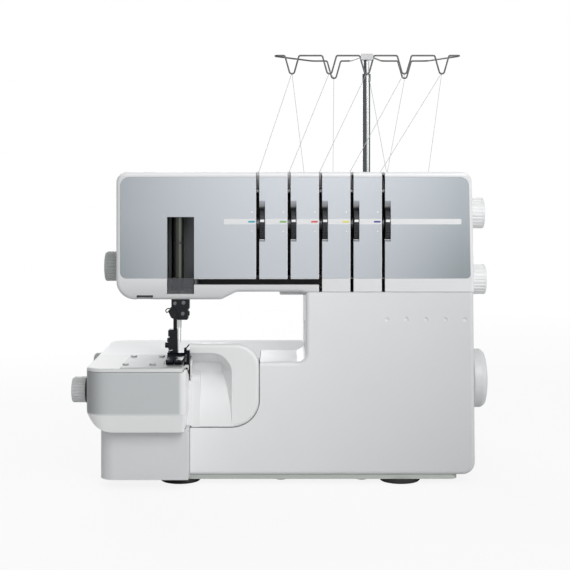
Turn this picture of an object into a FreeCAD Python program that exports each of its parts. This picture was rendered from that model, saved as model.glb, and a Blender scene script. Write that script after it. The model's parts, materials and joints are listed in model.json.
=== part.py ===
import FreeCAD, Part
import math
import os

from FreeCAD import Vector

# Axes and main planes, in millimetres: X to the right, Y to the back, Z up from the table
FACE_Y = -122.0
BLOCK_Y = FACE_Y - 43.0
SPLIT_Y = FACE_Y + 85.0
BACK_Y = FACE_Y + 165.0
BED_TOP = 119.5
BASE_Z = 9.4
PART_GAP = 0.4
WALL = 3.0
FRONT_WALL = 4.0

# Arm
ARM_LEFT = -163.6
ARM_RIGHT = 183.8
ARM_TOP = 305.0
ARM_BOTTOM = 180.4
ARM_BOTTOM_RIGHT = 187.9
ARM_CORNER = 10.0
ARM_EDGE = 3.5

# Column and the front panel that it shares with the bed
COLUMN_LEFT = 21.8
COLUMN_RIGHT = 187.2
COLUMN_RIGHT_TOP = 185.2
PANEL_EDGE = 4.0
PANEL_LEFT = -91.3
BODY_EXTENSION_Z = 230.0

# Silver face panel and its thread slots
FACE_LEFT = -159.7
FACE_RIGHT_TOP = 180.6
FACE_RIGHT_LOW = 182.6
FACE_TOP = 300.1
FACE_LOW = 201.1
FACE_CORNER = 9.0
FACE_THICK = 1.8
FACE_FIT = 0.15
SLOT_COUNT = 5
SLOT_FIRST_X = -25.3
SLOT_PITCH = 30.68
SLOT_HALF = 1.6
SLOT_DEEP_Y = FACE_Y + 48.0
LONG_SLOT_FROM = 2
CROSS_SLOT = (-87.5, 37.5, 194.9, 200.6)
WINDOW = (-113.8, -87.4, 186.0, 261.1)
LAMP = (-85.0, -67.0, FACE_Y + 12.0, FACE_Y + 28.0)

# Tension thumbwheels
WHEEL_RADIUS = 20.0
WHEEL_WIDTH = 5.0
WHEEL_Y = FACE_Y + 18.5
WHEEL_Z = 254.0
WHEEL_OFFSET = 1.9
WHEEL_FLUTES = 72
STUD_RADIUS = 2.0
RUN_FIT = 0.05

# Bed block and hinged front cover
BED_LEFT = -188.1
BLOCK_RIGHT = -92.3
BLOCK_CORNER = 18.0
BLOCK_BEVEL_Z = 75.7
BLOCK_LOW = 57.7
BLOCK_BEVEL = 9.0
BLOCK_ROUND = 26.0
COVER_TOP = 115.9
COVER_WALL = 2.7
COVER_BACK_Y = FACE_Y - 24.0
COVER_RIGHT = -23.5
COVER_LOW = 55.7
COVER_GAP = 0.35
HUMP_TOP = 137.2
RIB_TOP = 107.5
# Chute sections: Y, lowest Z, right X, highest Z and corner radius
CHUTE_SECTIONS = ((FACE_Y, 57.0, -50.4, 128.5, 20.0), (FACE_Y + 8.0, 88.0, -54.5, 124.0, 15.0),
                  (FACE_Y + 24.0, 107.0, -61.0, 116.0, 3.0))
HINGE_Y = FACE_Y - 26.0
HINGE_Z = 60.5
HINGE_PIN = 1.2
HINGE_LUG = 2.6
HINGE_CENTRES = (-160.0, -112.0)

# Needle, presser and knife
NEEDLE_X = -103.0
NEEDLE_Y = FACE_Y + 10.0
NEEDLE_BAR_RADIUS = 5.0
NEEDLE_TIP_Z = 136.8
NEEDLE_SPACING = 2.4
PRESSER_X = -107.9
PRESSER_Y = FACE_Y + 26.0
PRESSER_RADIUS = 3.5
PRESSER_NECK = 1.9
KNIFE_PIVOT_Y = FACE_Y + 36.0
KNIFE_PIVOT_Z = 110.0
LIFTER_X = -128.0
LIFTER_Z = 215.0
LIFTER_RADIUS = 4.0
BALANCE_ARM = 20.0
BALANCE_SIZE = 13.0

# Shafts, pulleys and motor
SHAFT_Y = FACE_Y + 55.0
SHAFT_Z = 95.5
SHAFT_RADIUS = 5.0
PULLEY_X = 140.0
PULLEY_WIDTH = 12.0
PULLEY_RADIUS = 28.0
MOTOR_Y = FACE_Y + 118.0
MOTOR_Z = 54.0
MOTOR_RADIUS = 28.0
MOTOR_PULLEY_RADIUS = 10.0
BELT_THICK = 1.8
BELT_FIT = 0.3
LOOPER_PIVOT_Z = 75.0
LOWER_LOOPER_X = -135.0
UPPER_LOOPER_X = -70.0
LOOPER_PIN = 3.0

# Knobs: side (-1 left, 1 right), wall X, Y, Z, radius and length of each
HANDWHEEL_RADIUS = 29.5
OUTER_X = 204.5
KNOBS = {
    "stitch_length_knob": (1, 184.6, FACE_Y + 48.0, 263.5, 15.5, 17.6),
    "differential_feed_knob": (1, 186.0, FACE_Y + 48.0, 196.5, 15.0, 18.0),
    "foot_pressure_knob": (-1, ARM_LEFT, FACE_Y + 45.0, 210.0, 15.0, 15.8),
    "cutting_width_knob": (-1, BED_LEFT, FACE_Y - 6.0, 94.0, 12.4, 16.4),
    "looper_selector_knob": (-1, BED_LEFT, FACE_Y + 104.0, 101.5, 12.4, 11.0),
}
KNOB_SHAFT = 4.0
KNOB_GAP = 0.5
KNOB_FLUTES = 26

# Thread stand, spools and threads
STAND_X = 94.0
STAND_Y = FACE_Y + 195.0
STAND_OUTER_RADIUS = 6.0
STAND_TUBE_RADIUS = 4.4
STAND_ROD_RADIUS = 3.2
STAND_OUTER_TOP = 285.0
STAND_COLLAR = (407.0, 415.5)
GUIDE_TOP = 435.5
GUIDE_POINT = 407.1
GUIDE_WIRE = 0.95
GUIDE_ROW_Y = FACE_Y + 186.0
GUIDE_BACK_Y = FACE_Y + 256.0
GUIDE_PITCH = 42.0
GUIDE_HALF = 8.0
GUIDE_BEND = 3.0
GUIDE_ENDS = (-9.0, 198.0)
BACK_EYES = (60.0, 143.0)
TRAY = (12.0, 176.0, BACK_Y + 0.02, 165.0)
TRAY_Z = 70.0
TRAY_THICK = 6.0
SPOOLS = ((43.0, FACE_Y + 208.0), (52.0, FACE_Y + 258.0), (STAND_X, FACE_Y + 224.0),
          (136.0, FACE_Y + 258.0), (145.0, FACE_Y + 208.0))
SPOOL_RADIUS = 17.0
SPOOL_HEIGHT = 120.0
SPOOL_TOP = TRAY_Z + TRAY_THICK + 0.2 + SPOOL_HEIGHT
SPOOL_LIP = 6.0
SPOOL_PIN_TOP = 232.0
THREAD_RADIUS = 0.25
# How far from the middle of the wire a thread runs behind it, over it or under it
THREAD_BEHIND = Vector(0, 1.5, 0.6)
THREAD_OVER = Vector(0, 0.3, 2.1)
THREAD_UNDER = Vector(0, 0.3, -1.6)

# Power switch pivot
ROCKER_X = 183.0
ROCKER_Z = 42.0
ROCKER_PIN = 2.0

# Feet
FOOT_RADIUS = 20.5
FOOT_TOP = 4.8
FEET = ((-102.0, FACE_Y + 21.0), (115.0, FACE_Y + 21.0), (-102.0, FACE_Y + 138.0), (115.0, FACE_Y + 138.0))

X_AXIS = Vector(1, 0, 0)
Y_AXIS = Vector(0, 1, 0)
Z_AXIS = Vector(0, 0, 1)


def slot_x(index):
    return SLOT_FIRST_X + SLOT_PITCH * index


def guide_x(index):
    return STAND_X + GUIDE_PITCH * (index - SLOT_COUNT // 2)


# Basic shapes
def box(x0, x1, y0, y1, z0, z1):
    return Part.makeBox(x1 - x0, y1 - y0, z1 - z0, Vector(x0, y0, z0))


def rod(x, y, z, axis, length, radius):
    return Part.makeCylinder(radius, length, Vector(x, y, z), axis)


def tube(x, y, z, axis, length, outer, inner):
    return rod(x, y, z, axis, length, outer).cut(rod(x, y, z, axis, length, inner))


def rounded_path(points, closed):
    """Edges through points given as (Vector, bend radius)."""
    count = len(points)
    corners = []
    for index, (corner, radius) in enumerate(points):
        inside = closed or 0 < index < count - 1
        if not inside or radius == 0:
            corners.append((corner, corner, corner))
            continue
        before = (points[index - 1][0] - corner).normalize()
        after = (points[(index + 1) % count][0] - corner).normalize()
        half = before.getAngle(after) / 2
        trim = radius / math.tan(half)
        middle = (before + after).normalize() * (radius / math.sin(half) - radius)
        corners.append((corner + before * trim, corner + middle, corner + after * trim))
    edges = []
    for index, (start, middle, end) in enumerate(corners):
        if start.distanceToPoint(end) > 1e-6:
            edges.append(Part.Arc(start, middle, end).toShape())
        if index < count - 1 or closed:
            next_start = corners[(index + 1) % count][0]
            if end.distanceToPoint(next_start) > 1e-6:
                edges.append(Part.LineSegment(end, next_start).toShape())
    return Part.Wire(edges)


def closed_outline(points, place):
    """Closed wire through (u, v) or (u, v, radius) points, put in space by place(u, v)."""
    spread = [(place(point[0], point[1]), point[2] if len(point) > 2 else 0) for point in points]
    return rounded_path(spread, True)


def inset_wire(wire, inset):
    return wire.makeOffset2D(-inset) if inset else wire


def along_x(points, x0, x1):
    wire = closed_outline(points, lambda y, z: Vector(x0, y, z))
    return Part.Face(wire).extrude(Vector(x1 - x0, 0, 0))


def along_y(points, y0, y1, inset=0):
    wire = closed_outline(points, lambda x, z: Vector(x, y0, z))
    return Part.Face(inset_wire(wire, inset)).extrude(Vector(0, y1 - y0, 0))


def along_z(points, z0, z1, inset=0):
    wire = closed_outline(points, lambda x, y: Vector(x, y, z0))
    return Part.Face(inset_wire(wire, inset)).extrude(Vector(0, 0, z1 - z0))


def fillet_where(shape, radius, chosen):
    edges = [edge for edge in shape.Edges if chosen(edge.BoundBox)]
    return shape.makeFillet(radius, edges)


def on_front(y):
    return lambda bounds: bounds.YMax < y + 0.01


def on_back(y):
    return lambda bounds: bounds.YMin > y - 0.01


def on_top(z):
    return lambda bounds: bounds.ZMin > z - 0.01


def union(first, *others):
    return first.fuse(list(others)).removeSplitter()


def slot_cutters(front_y, back_y):
    cutters = []
    for index in range(SLOT_COUNT):
        low = ARM_BOTTOM_RIGHT - 2 if index >= LONG_SLOT_FROM else FACE_LOW - 3
        x = slot_x(index)
        cutters.append(box(x - SLOT_HALF, x + SLOT_HALF, front_y, back_y, low, ARM_TOP + 2))
    return cutters


def wheel_window(index):
    """Opening beside a slot, with ramps that let a finger reach the thumbwheel."""
    left = slot_x(index) + SLOT_HALF - 0.1
    profile = [(FACE_Y - 1, 279.5), (FACE_Y - 1, 236.5), (FACE_Y + 3.0, 239.2), (FACE_Y + 12, 239.2),
               (FACE_Y + 12, 268.8), (FACE_Y + 3.2, 268.8)]
    return along_x(profile, left, left + WHEEL_WIDTH + 0.7)


# Outlines seen from the front, as (X, Z) or (X, Z, corner radius)
ARM_OUTLINE = [(ARM_LEFT, ARM_TOP, ARM_CORNER), (ARM_RIGHT, ARM_TOP, ARM_CORNER), (COLUMN_RIGHT, 150),
               (COLUMN_LEFT, 150), (COLUMN_LEFT, ARM_BOTTOM_RIGHT, 6), (-46, ARM_BOTTOM_RIGHT, 8),
               (-61, ARM_BOTTOM, 8), (ARM_LEFT, ARM_BOTTOM, BLOCK_CORNER)]
FACE_OUTLINE = [(FACE_LEFT, FACE_TOP, FACE_CORNER), (FACE_RIGHT_TOP, FACE_TOP, FACE_CORNER),
                (FACE_RIGHT_LOW, FACE_LOW, 4), (FACE_LEFT, FACE_LOW, 6)]
BODY_OUTLINE = [(-140, BASE_Z), (COLUMN_RIGHT, BASE_Z, 12), (COLUMN_RIGHT_TOP, BODY_EXTENSION_Z),
                (COLUMN_LEFT, BODY_EXTENSION_Z), (COLUMN_LEFT, BED_TOP, 9), (-140, BED_TOP)]
COLUMN_OUTLINE = [(COLUMN_LEFT, BASE_Z), (COLUMN_RIGHT, BASE_Z, 12), (COLUMN_RIGHT_TOP, BODY_EXTENSION_Z),
                  (COLUMN_LEFT, BODY_EXTENSION_Z)]
COVER_OUTLINE = [(PANEL_LEFT, COVER_LOW), (COVER_RIGHT, COVER_LOW, 27), (COVER_RIGHT, HUMP_TOP, 24),
                 (PANEL_LEFT, HUMP_TOP)]


# Arm
def arm_hollow(y0, y1):
    hollow = along_y(ARM_OUTLINE, y0, y1, WALL)
    throat = box(-50, COLUMN_LEFT + WALL, y0, y1, 140, ARM_BOTTOM_RIGHT + WALL)
    return hollow.cut(throat)


def below_arm():
    return box(COLUMN_LEFT - 1, 220, FACE_Y - 5, BACK_Y + 5, 100, ARM_BOTTOM_RIGHT + PART_GAP / 2)


def arm_front_frame():
    shape = along_y(ARM_OUTLINE, FACE_Y, SPLIT_Y)
    shape = fillet_where(shape, ARM_EDGE, on_front(FACE_Y))
    pocket = along_y(FACE_OUTLINE, FACE_Y - 1, FACE_Y + FACE_THICK)
    window = box(WINDOW[0], WINDOW[1], FACE_Y - 1, FACE_Y + 8, WINDOW[2], WINDOW[3])
    cross = box(CROSS_SLOT[0], CROSS_SLOT[1], FACE_Y - 1, FACE_Y + 8, CROSS_SLOT[2], CROSS_SLOT[3])
    needle_hole = box(-117, -88, FACE_Y + 3, FACE_Y + 40, 170, ARM_BOTTOM + 5)
    lamp_hole = box(LAMP[0] - 0.1, LAMP[1] + 0.1, LAMP[2] - 0.1, LAMP[3] + 0.1, 170, ARM_BOTTOM + 5)
    cutter_notch = box(-143.5, -127.5, FACE_Y - 1, FACE_Y + 6, ARM_BOTTOM - 1, ARM_BOTTOM + 4.2)
    cutters = [arm_hollow(FACE_Y + FRONT_WALL, SPLIT_Y + 1), below_arm(), pocket, window, cross]
    cutters += [needle_hole, lamp_hole, cutter_notch] + slot_cutters(FACE_Y - 1, FACE_Y + 5)
    for index in range(SLOT_COUNT):
        x = slot_x(index)
        cutters.append(box(x - SLOT_HALF, x + SLOT_HALF, FACE_Y - 1, SLOT_DEEP_Y, ARM_TOP - 6, ARM_TOP + 2))
        cutters.append(wheel_window(index))
    for name in ("stitch_length_knob", "differential_feed_knob", "foot_pressure_knob"):
        cutters.append(knob_hole(name))
    lip = box(-4.0, COLUMN_LEFT - PART_GAP, FACE_Y + 10, SPLIT_Y - 2, ARM_BOTTOM_RIGHT - 3.6, ARM_BOTTOM_RIGHT + 1)
    lip = fillet_where(lip, 1.6, lambda bounds: bounds.XMax < -3.99 and bounds.ZMax < ARM_BOTTOM_RIGHT)
    return union(shape.cut(cutters), lip)


def arm_rear_cover():
    shape = along_y(ARM_OUTLINE, SPLIT_Y + PART_GAP, BACK_Y)
    shape = fillet_where(shape, 9.0, on_back(BACK_Y))
    lifter_hole = rod(LIFTER_X, BACK_Y - 10, LIFTER_Z, Y_AXIS, 20, LIFTER_RADIUS + RUN_FIT)
    return shape.cut([arm_hollow(SPLIT_Y, BACK_Y - WALL), below_arm(), lifter_hole])


def face_panel_pieces():
    plate = along_y(FACE_OUTLINE, FACE_Y, FACE_Y + FACE_THICK - 0.05, FACE_FIT)
    window = box(WINDOW[0], WINDOW[1], FACE_Y - 1, FACE_Y + 8, WINDOW[2], WINDOW[3])
    cutters = slot_cutters(FACE_Y - 1, FACE_Y + 5) + [window]
    cutters += [wheel_window(index) for index in range(SLOT_COUNT)]
    return plate.cut(cutters).Solids


def tension_dial(index):
    left = slot_x(index) + WHEEL_OFFSET
    wheel = rod(left, WHEEL_Y, WHEEL_Z, X_AXIS, WHEEL_WIDTH, WHEEL_RADIUS)
    wheel = wheel.makeFillet(0.6, wheel.Edges[:1] + wheel.Edges[2:])
    cutters = [rod(left - 1, WHEEL_Y, WHEEL_Z, X_AXIS, WHEEL_WIDTH + 2, STUD_RADIUS + RUN_FIT)]
    for step in range(WHEEL_FLUTES):
        angle = 2 * math.pi * step / WHEEL_FLUTES
        y = WHEEL_Y + (WHEEL_RADIUS + 0.25) * math.cos(angle)
        z = WHEEL_Z + (WHEEL_RADIUS + 0.25) * math.sin(angle)
        cutters.append(rod(left - 1, y, z, X_AXIS, WHEEL_WIDTH + 2, 0.55))
    return wheel.cut(cutters)


def tension_studs():
    return [rod(slot_x(index) - 2.9, WHEEL_Y, WHEEL_Z, X_AXIS, 12.0, STUD_RADIUS)
            for index in range(SLOT_COUNT)]


def tension_discs():
    discs = []
    for index in range(SLOT_COUNT):
        for left in (-1.2, 0.5):
            discs.append(tube(slot_x(index) + left, WHEEL_Y, WHEEL_Z, X_AXIS, 0.7, 8.0, STUD_RADIUS + RUN_FIT))
    return discs


def slot_thread_guides():
    pins = []
    for index in range(SLOT_COUNT):
        pins.append(rod(slot_x(index) - 1.9, FACE_Y + 7.0, 287.0, X_AXIS, 10.4, 1.6))
    return pins


def slot_liner():
    """Black carrier behind the slots: a back plate with a rib on each side of every slot."""
    back_y = FACE_Y + 41.0
    front_y = FACE_Y + FRONT_WALL + 0.3
    plate = box(-36, 112, back_y, back_y + 1.6, 205, 298)
    ribs = []
    holes = []
    for index in range(SLOT_COUNT):
        x = slot_x(index)
        for left in (x - 3.2, x + 8.8):
            ribs.append(box(left, left + 1.2, front_y, back_y + 0.5, 205, 298))
        holes.append(rod(x - 5, WHEEL_Y, WHEEL_Z, X_AXIS, 18, STUD_RADIUS + 0.02))
    cross = box(-84.9, CROSS_SLOT[1] + 1.2, front_y, front_y + 14, 191.6, 203.6)
    cross_hollow = box(-83.7, CROSS_SLOT[1] + 0.2, front_y - 1, front_y + 12.6, 193.0, 202.2)
    return [union(plate, *ribs).cut(holes), cross.cut(cross_hollow)]


def window_liner():
    """Dark recess behind the needle window."""
    shell = box(-116.2, -85.2, FACE_Y + 4.4, FACE_Y + 38, 190, 264)
    hollow = box(-114.6, -86.8, FACE_Y + 4, FACE_Y + 36.4, 189, 262.4)
    needle = rod(NEEDLE_X, NEEDLE_Y, 250, Z_AXIS, 30, NEEDLE_BAR_RADIUS + 1)
    presser = rod(PRESSER_X, PRESSER_Y, 250, Z_AXIS, 30, PRESSER_RADIUS + 1)
    return shell.cut([hollow, needle, presser])


def needle_window_guard():
    guard = box(WINDOW[0] + 0.3, WINDOW[1] - 0.3, FACE_Y + 0.6, FACE_Y + 2.6, WINDOW[2] + 0.2, 201.5)
    return fillet_where(guard, 0.8, on_front(FACE_Y + 0.6))


def lamp_lens():
    return box(*LAMP, ARM_BOTTOM + 0.3, ARM_BOTTOM + 4)


# Column, bed and base
def body_hollow(y0, y1):
    hollow = along_y(BODY_OUTLINE, y0, y1, WALL)
    floor = box(-137, COLUMN_RIGHT - WALL, y0, y1, -5, 40)
    return hollow.fuse(floor)


def column_front_panel():
    shape = along_y(BODY_OUTLINE, FACE_Y, SPLIT_Y)
    shape = fillet_where(shape, PANEL_EDGE, on_front(FACE_Y))
    cover_space = [(-300, COVER_LOW), (COVER_RIGHT, COVER_LOW, 27), (COVER_RIGHT, 300), (-300, 300)]
    cutters = [body_hollow(FACE_Y + FRONT_WALL, SPLIT_Y + 1),
               box(-200, 220, FACE_Y - 5, SPLIT_Y + 5, ARM_BOTTOM_RIGHT - PART_GAP / 2, 300),
               box(-200, PANEL_LEFT, FACE_Y - 5, SPLIT_Y + 5, 0, 200),
               along_y(cover_space, FACE_Y - 5, SPLIT_Y + 5, -COVER_GAP)]
    for index in range(5):
        cutters.append(Part.makeSphere(2.6, Vector(100.8 + 19.0 * index, FACE_Y - 1.6, 161.3)))
        low = 126.0 + 6.0 * index
        cutters.append(box(COLUMN_LEFT - 1, COLUMN_LEFT + 1.2, FACE_Y + 18, FACE_Y + 72, low, low + 3.0))
    cutters.append(rod(COLUMN_RIGHT - 12, SHAFT_Y, SHAFT_Z, X_AXIS, 24, SHAFT_RADIUS + 1))
    return shape.cut(cutters)


def column_rear_cover():
    shape = along_y(COLUMN_OUTLINE, SPLIT_Y + PART_GAP, BACK_Y)
    shape = fillet_where(shape, 8.0, on_back(BACK_Y))
    hollow = along_y(COLUMN_OUTLINE, SPLIT_Y, BACK_Y - WALL, WALL)
    floor = box(COLUMN_LEFT + WALL, COLUMN_RIGHT - WALL - 1, SPLIT_Y, BACK_Y - WALL, -5, 40)
    above = box(-200, 220, FACE_Y, BACK_Y + 5, ARM_BOTTOM_RIGHT - PART_GAP / 2, 300)
    bed_way = box(0, COLUMN_LEFT + 8, SPLIT_Y - 1, BACK_Y - 12, BASE_Z - 1, BED_TOP - WALL)
    inlet = box(170, 200, FACE_Y + 96, FACE_Y + 146, 26, 58)
    return shape.cut([hollow, floor, above, bed_way, inlet])


def rounded_bed(inset):
    """Everything above the underside of the bed, with its lower left corner rounded off."""
    corner = (BED_LEFT + inset, BLOCK_LOW + inset, BLOCK_ROUND - inset)
    outline = [corner, (BED_LEFT + inset, 220), (100, 220), (100, BLOCK_LOW + inset)]
    return along_y(outline, BLOCK_Y - 1, BACK_Y + 1)


def bed_cover():
    plan = [(BED_LEFT, COVER_BACK_Y + PART_GAP), (BED_LEFT, BACK_Y, 15), (COLUMN_LEFT - PART_GAP, BACK_Y),
            (COLUMN_LEFT - PART_GAP, COVER_BACK_Y + PART_GAP)]
    low_plan = [(BED_LEFT + BLOCK_BEVEL, COVER_BACK_Y + PART_GAP), (BED_LEFT + BLOCK_BEVEL, BACK_Y - 5, 10),
                (COLUMN_LEFT - PART_GAP, BACK_Y - 5), (COLUMN_LEFT - PART_GAP, COVER_BACK_Y + PART_GAP)]
    upper = closed_outline(plan, lambda x, y: Vector(x, y, BLOCK_BEVEL_Z))
    lower = closed_outline(low_plan, lambda x, y: Vector(x, y, BLOCK_LOW))
    top = fillet_where(along_z(plan, BLOCK_BEVEL_Z, BED_TOP), 2.5,
                       lambda bounds: on_top(BED_TOP)(bounds) and bounds.XMin < 0 and bounds.YMax > 0)
    shape = union(top, Part.makeLoft([lower, upper], True, True))
    shape = shape.common(rounded_bed(0))
    left = BED_LEFT + BLOCK_BEVEL + WALL
    inside = box(left, 60, BLOCK_Y, BACK_Y - 5 - WALL, 20, BED_TOP - WALL).common(rounded_bed(WALL))
    cutters = [inside, box(BED_LEFT + BLOCK_ROUND - 2, 60, BLOCK_Y, BACK_Y - 5 - WALL, 20, 80),
               box(-220, -95.0, BLOCK_Y, FACE_Y + 48.4, COVER_TOP, 140),
               box(-97.4, COVER_RIGHT + 0.6, BLOCK_Y, FACE_Y + 29, 20, 140),
               box(-97.4, -90.0, BLOCK_Y, FACE_Y + 46, 20, 140),
               box(COVER_RIGHT, 60, BLOCK_Y, SPLIT_Y + PART_GAP, 20, 140),
               box(-220, -95.0, BLOCK_Y, COVER_BACK_Y + 2.6, 20, HINGE_Z + 5)]
    cutters += [knob_hole("cutting_width_knob"), knob_hole("looper_selector_knob")]
    return shape.cut(cutters)


def left_base_cover():
    plan = [(-177.0, FACE_Y - 21, 14), (-177.0, BACK_Y - 6, 10), (COLUMN_LEFT - PART_GAP, BACK_Y - 6),
            (COLUMN_LEFT - PART_GAP, FACE_Y - 21)]
    shape = along_z(plan, BASE_Z, BLOCK_LOW + BLOCK_ROUND / 2).cut(rounded_bed(-PART_GAP))
    hollow = along_z([(-174.0, FACE_Y - 18, 11), (-174.0, BACK_Y - 9, 7), (60, BACK_Y - 9), (60, FACE_Y - 18)],
                     0, 80)
    right = PANEL_LEFT - PART_GAP
    shape = shape.cut([hollow, box(right, 60, FACE_Y - 30, FACE_Y + 100, 0, 80)])
    end_wall = box(right - WALL, right, FACE_Y - 20, FACE_Y + 3.5, BASE_Z, BLOCK_LOW - PART_GAP)
    lugs = []
    for centre in HINGE_CENTRES:
        lug = rod(centre - 3, HINGE_Y, HINGE_Z, X_AXIS, 6, HINGE_LUG + 0.4)
        web = box(centre - 3, centre + 3, HINGE_Y, FACE_Y - 18.5, BLOCK_LOW - 0.9, HINGE_Z - 0.5)
        lugs += [lug, web]
    shape = union(shape, end_wall, *lugs)
    holes = [rod(centre - 10, HINGE_Y, HINGE_Z, X_AXIS, 20, HINGE_PIN + 0.02) for centre in HINGE_CENTRES]
    return shape.cut(holes)


def front_cover_hinge_pins():
    return [rod(centre - 10, HINGE_Y, HINGE_Z, X_AXIS, 20, HINGE_PIN) for centre in HINGE_CENTRES]


def block_plan(inset):
    corner = BLOCK_CORNER - inset
    return [(BED_LEFT + inset, BLOCK_Y + inset, corner), (BED_LEFT + inset, FACE_Y + 6),
            (BLOCK_RIGHT - min(inset, COVER_WALL), FACE_Y + 6),
            (BLOCK_RIGHT - min(inset, COVER_WALL), BLOCK_Y + inset, 4)]


def block_solid(inset, lift):
    upper = closed_outline(block_plan(inset), lambda x, y: Vector(x, y, BLOCK_BEVEL_Z))
    lower = closed_outline(block_plan(inset + BLOCK_BEVEL), lambda x, y: Vector(x, y, BLOCK_LOW + lift))
    return union(along_z(block_plan(inset), BLOCK_BEVEL_Z, COVER_TOP + lift),
                 Part.makeLoft([lower, upper], True, True))


def chute(y0, spread):
    """Curved funnel that leads cut-off fabric from the knife down to the front."""
    sections = []
    for y, low, right, top, corner in CHUTE_SECTIONS:
        place_y = y0 if y == FACE_Y else y + spread * 0.8
        outline = [(-120, low - spread), (right + spread, low - spread), (right + spread, top + spread, corner),
                   (-120, top + spread)]
        sections.append(closed_outline(outline, lambda x, z, depth=place_y: Vector(x, depth, z)))
    return Part.makeLoft(sections, True, False)


def front_cover():
    inside = block_solid(COVER_WALL, COVER_WALL).common(rounded_bed(COVER_WALL))
    shell = block_solid(0, 0).common(rounded_bed(0)).cut(inside)
    behind = box(-300, BLOCK_RIGHT - COVER_WALL, COVER_BACK_Y, FACE_Y + 20, 0, 200)
    slope = along_x([(COVER_BACK_Y, 140), (COVER_BACK_Y, 115), (FACE_Y + 8, 103.5), (FACE_Y + 8, 140)], -110, -80)
    wall_end = box(-110, -80, FACE_Y + 3, FACE_Y + 20, 0, 200)
    shell = shell.cut([behind, slope, wall_end])
    frame = along_y(COVER_OUTLINE, FACE_Y, FACE_Y + 7)
    frame = fillet_where(frame, 4.0, lambda bounds: on_front(FACE_Y)(bounds) and bounds.XMax > PANEL_LEFT + 1)
    back = along_y(COVER_OUTLINE, FACE_Y, FACE_Y + 28, 0.8)
    funnel = chute(FACE_Y, 2.6).common(back)
    frame = union(frame, funnel).cut(chute(FACE_Y - 0.01, 0))
    rib = box(-90.0, -81.6, FACE_Y, FACE_Y + 18, COVER_LOW + 0.5, RIB_TOP)
    rib = fillet_where(rib, 6.0, lambda bounds: bounds.YMax < FACE_Y + 0.01 and bounds.ZMin > RIB_TOP - 1)
    web = box(BLOCK_RIGHT - COVER_WALL, -89.0, FACE_Y - 1, FACE_Y + 3, BLOCK_LOW, RIB_TOP - 6)
    side = box(PANEL_LEFT, PANEL_LEFT + 1.4, FACE_Y + 3, FACE_Y + 26, RIB_TOP - 8, 122)
    side = fillet_where(side, 8.0, lambda bounds: bounds.YMax < FACE_Y + 3.01 and bounds.ZMin > 121)
    lugs = []
    for centre in HINGE_CENTRES:
        for left in (centre - 10, centre + 4):
            lug = rod(left, HINGE_Y, HINGE_Z, X_AXIS, 6, HINGE_LUG)
            web_arm = box(left, left + 6, HINGE_Y - 6, HINGE_Y, HINGE_Z, HINGE_Z + HINGE_LUG)
            lugs += [lug, web_arm]
    shape = union(shell, frame, rib, web, side, *lugs)
    cutters = []
    for centre in HINGE_CENTRES:
        cutters.append(rod(centre - 3.4, HINGE_Y, HINGE_Z, X_AXIS, 6.8, HINGE_LUG + 2.2))
        cutters.append(rod(centre - 12, HINGE_Y, HINGE_Z, X_AXIS, 24, HINGE_PIN + RUN_FIT))
    return shape.cut(cutters)


def cloth_plate():
    plan = [(BED_LEFT, BLOCK_Y, BLOCK_CORNER), (BED_LEFT, FACE_Y + 48), (-95.4, FACE_Y + 48), (-95.4, BLOCK_Y)]
    plate = along_z(plan, COVER_TOP + 0.4, BED_TOP)
    plate = fillet_where(plate, 2.6, lambda bounds: on_top(BED_TOP)(bounds) and bounds.YMin < FACE_Y
                         and bounds.XMin < -100 and bounds.YMax < FACE_Y + 48.1)
    pocket = box(-155.0, -90, BLOCK_Y + 2.6, FACE_Y + 46.2, BED_TOP - 1.1, 130)
    way = box(-131, -90, FACE_Y - 16, FACE_Y + 42, 100, 130)
    return plate.cut([pocket, way])


def stitch_plate():
    plate = box(-154.6, -97.2, BLOCK_Y + 3, FACE_Y + 46, BED_TOP - 1.0, BED_TOP + 0.7)
    plate = fillet_where(plate, 0.5, on_top(BED_TOP + 0.7))
    needle_way = box(NEEDLE_X - 5, NEEDLE_X + 4, NEEDLE_Y - 4, NEEDLE_Y + 4, 100, 130)
    feed_way = box(-115.7, -112.3, FACE_Y - 14, FACE_Y + 30, 100, 130)
    return plate.cut([needle_way, feed_way])


def stitch_plate_screws():
    places = ((-151.6, -22), (-125.8, -22), (-149.5, 31), (-121.5, 31))
    screws = []
    for x, depth in places:
        head = rod(x, FACE_Y + depth, BED_TOP + 0.75, Z_AXIS, 1.2, 3.0)
        groove = box(x - 4, x + 4, FACE_Y + depth - 0.4, FACE_Y + depth + 0.4, BED_TOP + 1.4, BED_TOP + 3)
        screws.append(head.cut(groove))
    return screws


def base_plate():
    plan = [(-172, FACE_Y + 3, 8), (170, FACE_Y + 3, 8), (170, BACK_Y - 10, 8), (-172, BACK_Y - 10, 8)]
    plate = along_z(plan, FOOT_TOP, BASE_Z - 0.1)
    pegs = [rod(x, FACE_Y + 14, 2.6, Z_AXIS, 4, 5.0) for x in (-2.5, 76.9)]
    return union(plate, *pegs)


def rubber_feet():
    feet = []
    for x, y in FEET:
        foot = rod(x, y, 0, Z_AXIS, FOOT_TOP, FOOT_RADIUS)
        feet.append(foot.makeChamfer(1.5, [edge for edge in foot.Edges if edge.BoundBox.ZMax < 0.01]))
    return feet


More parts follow.
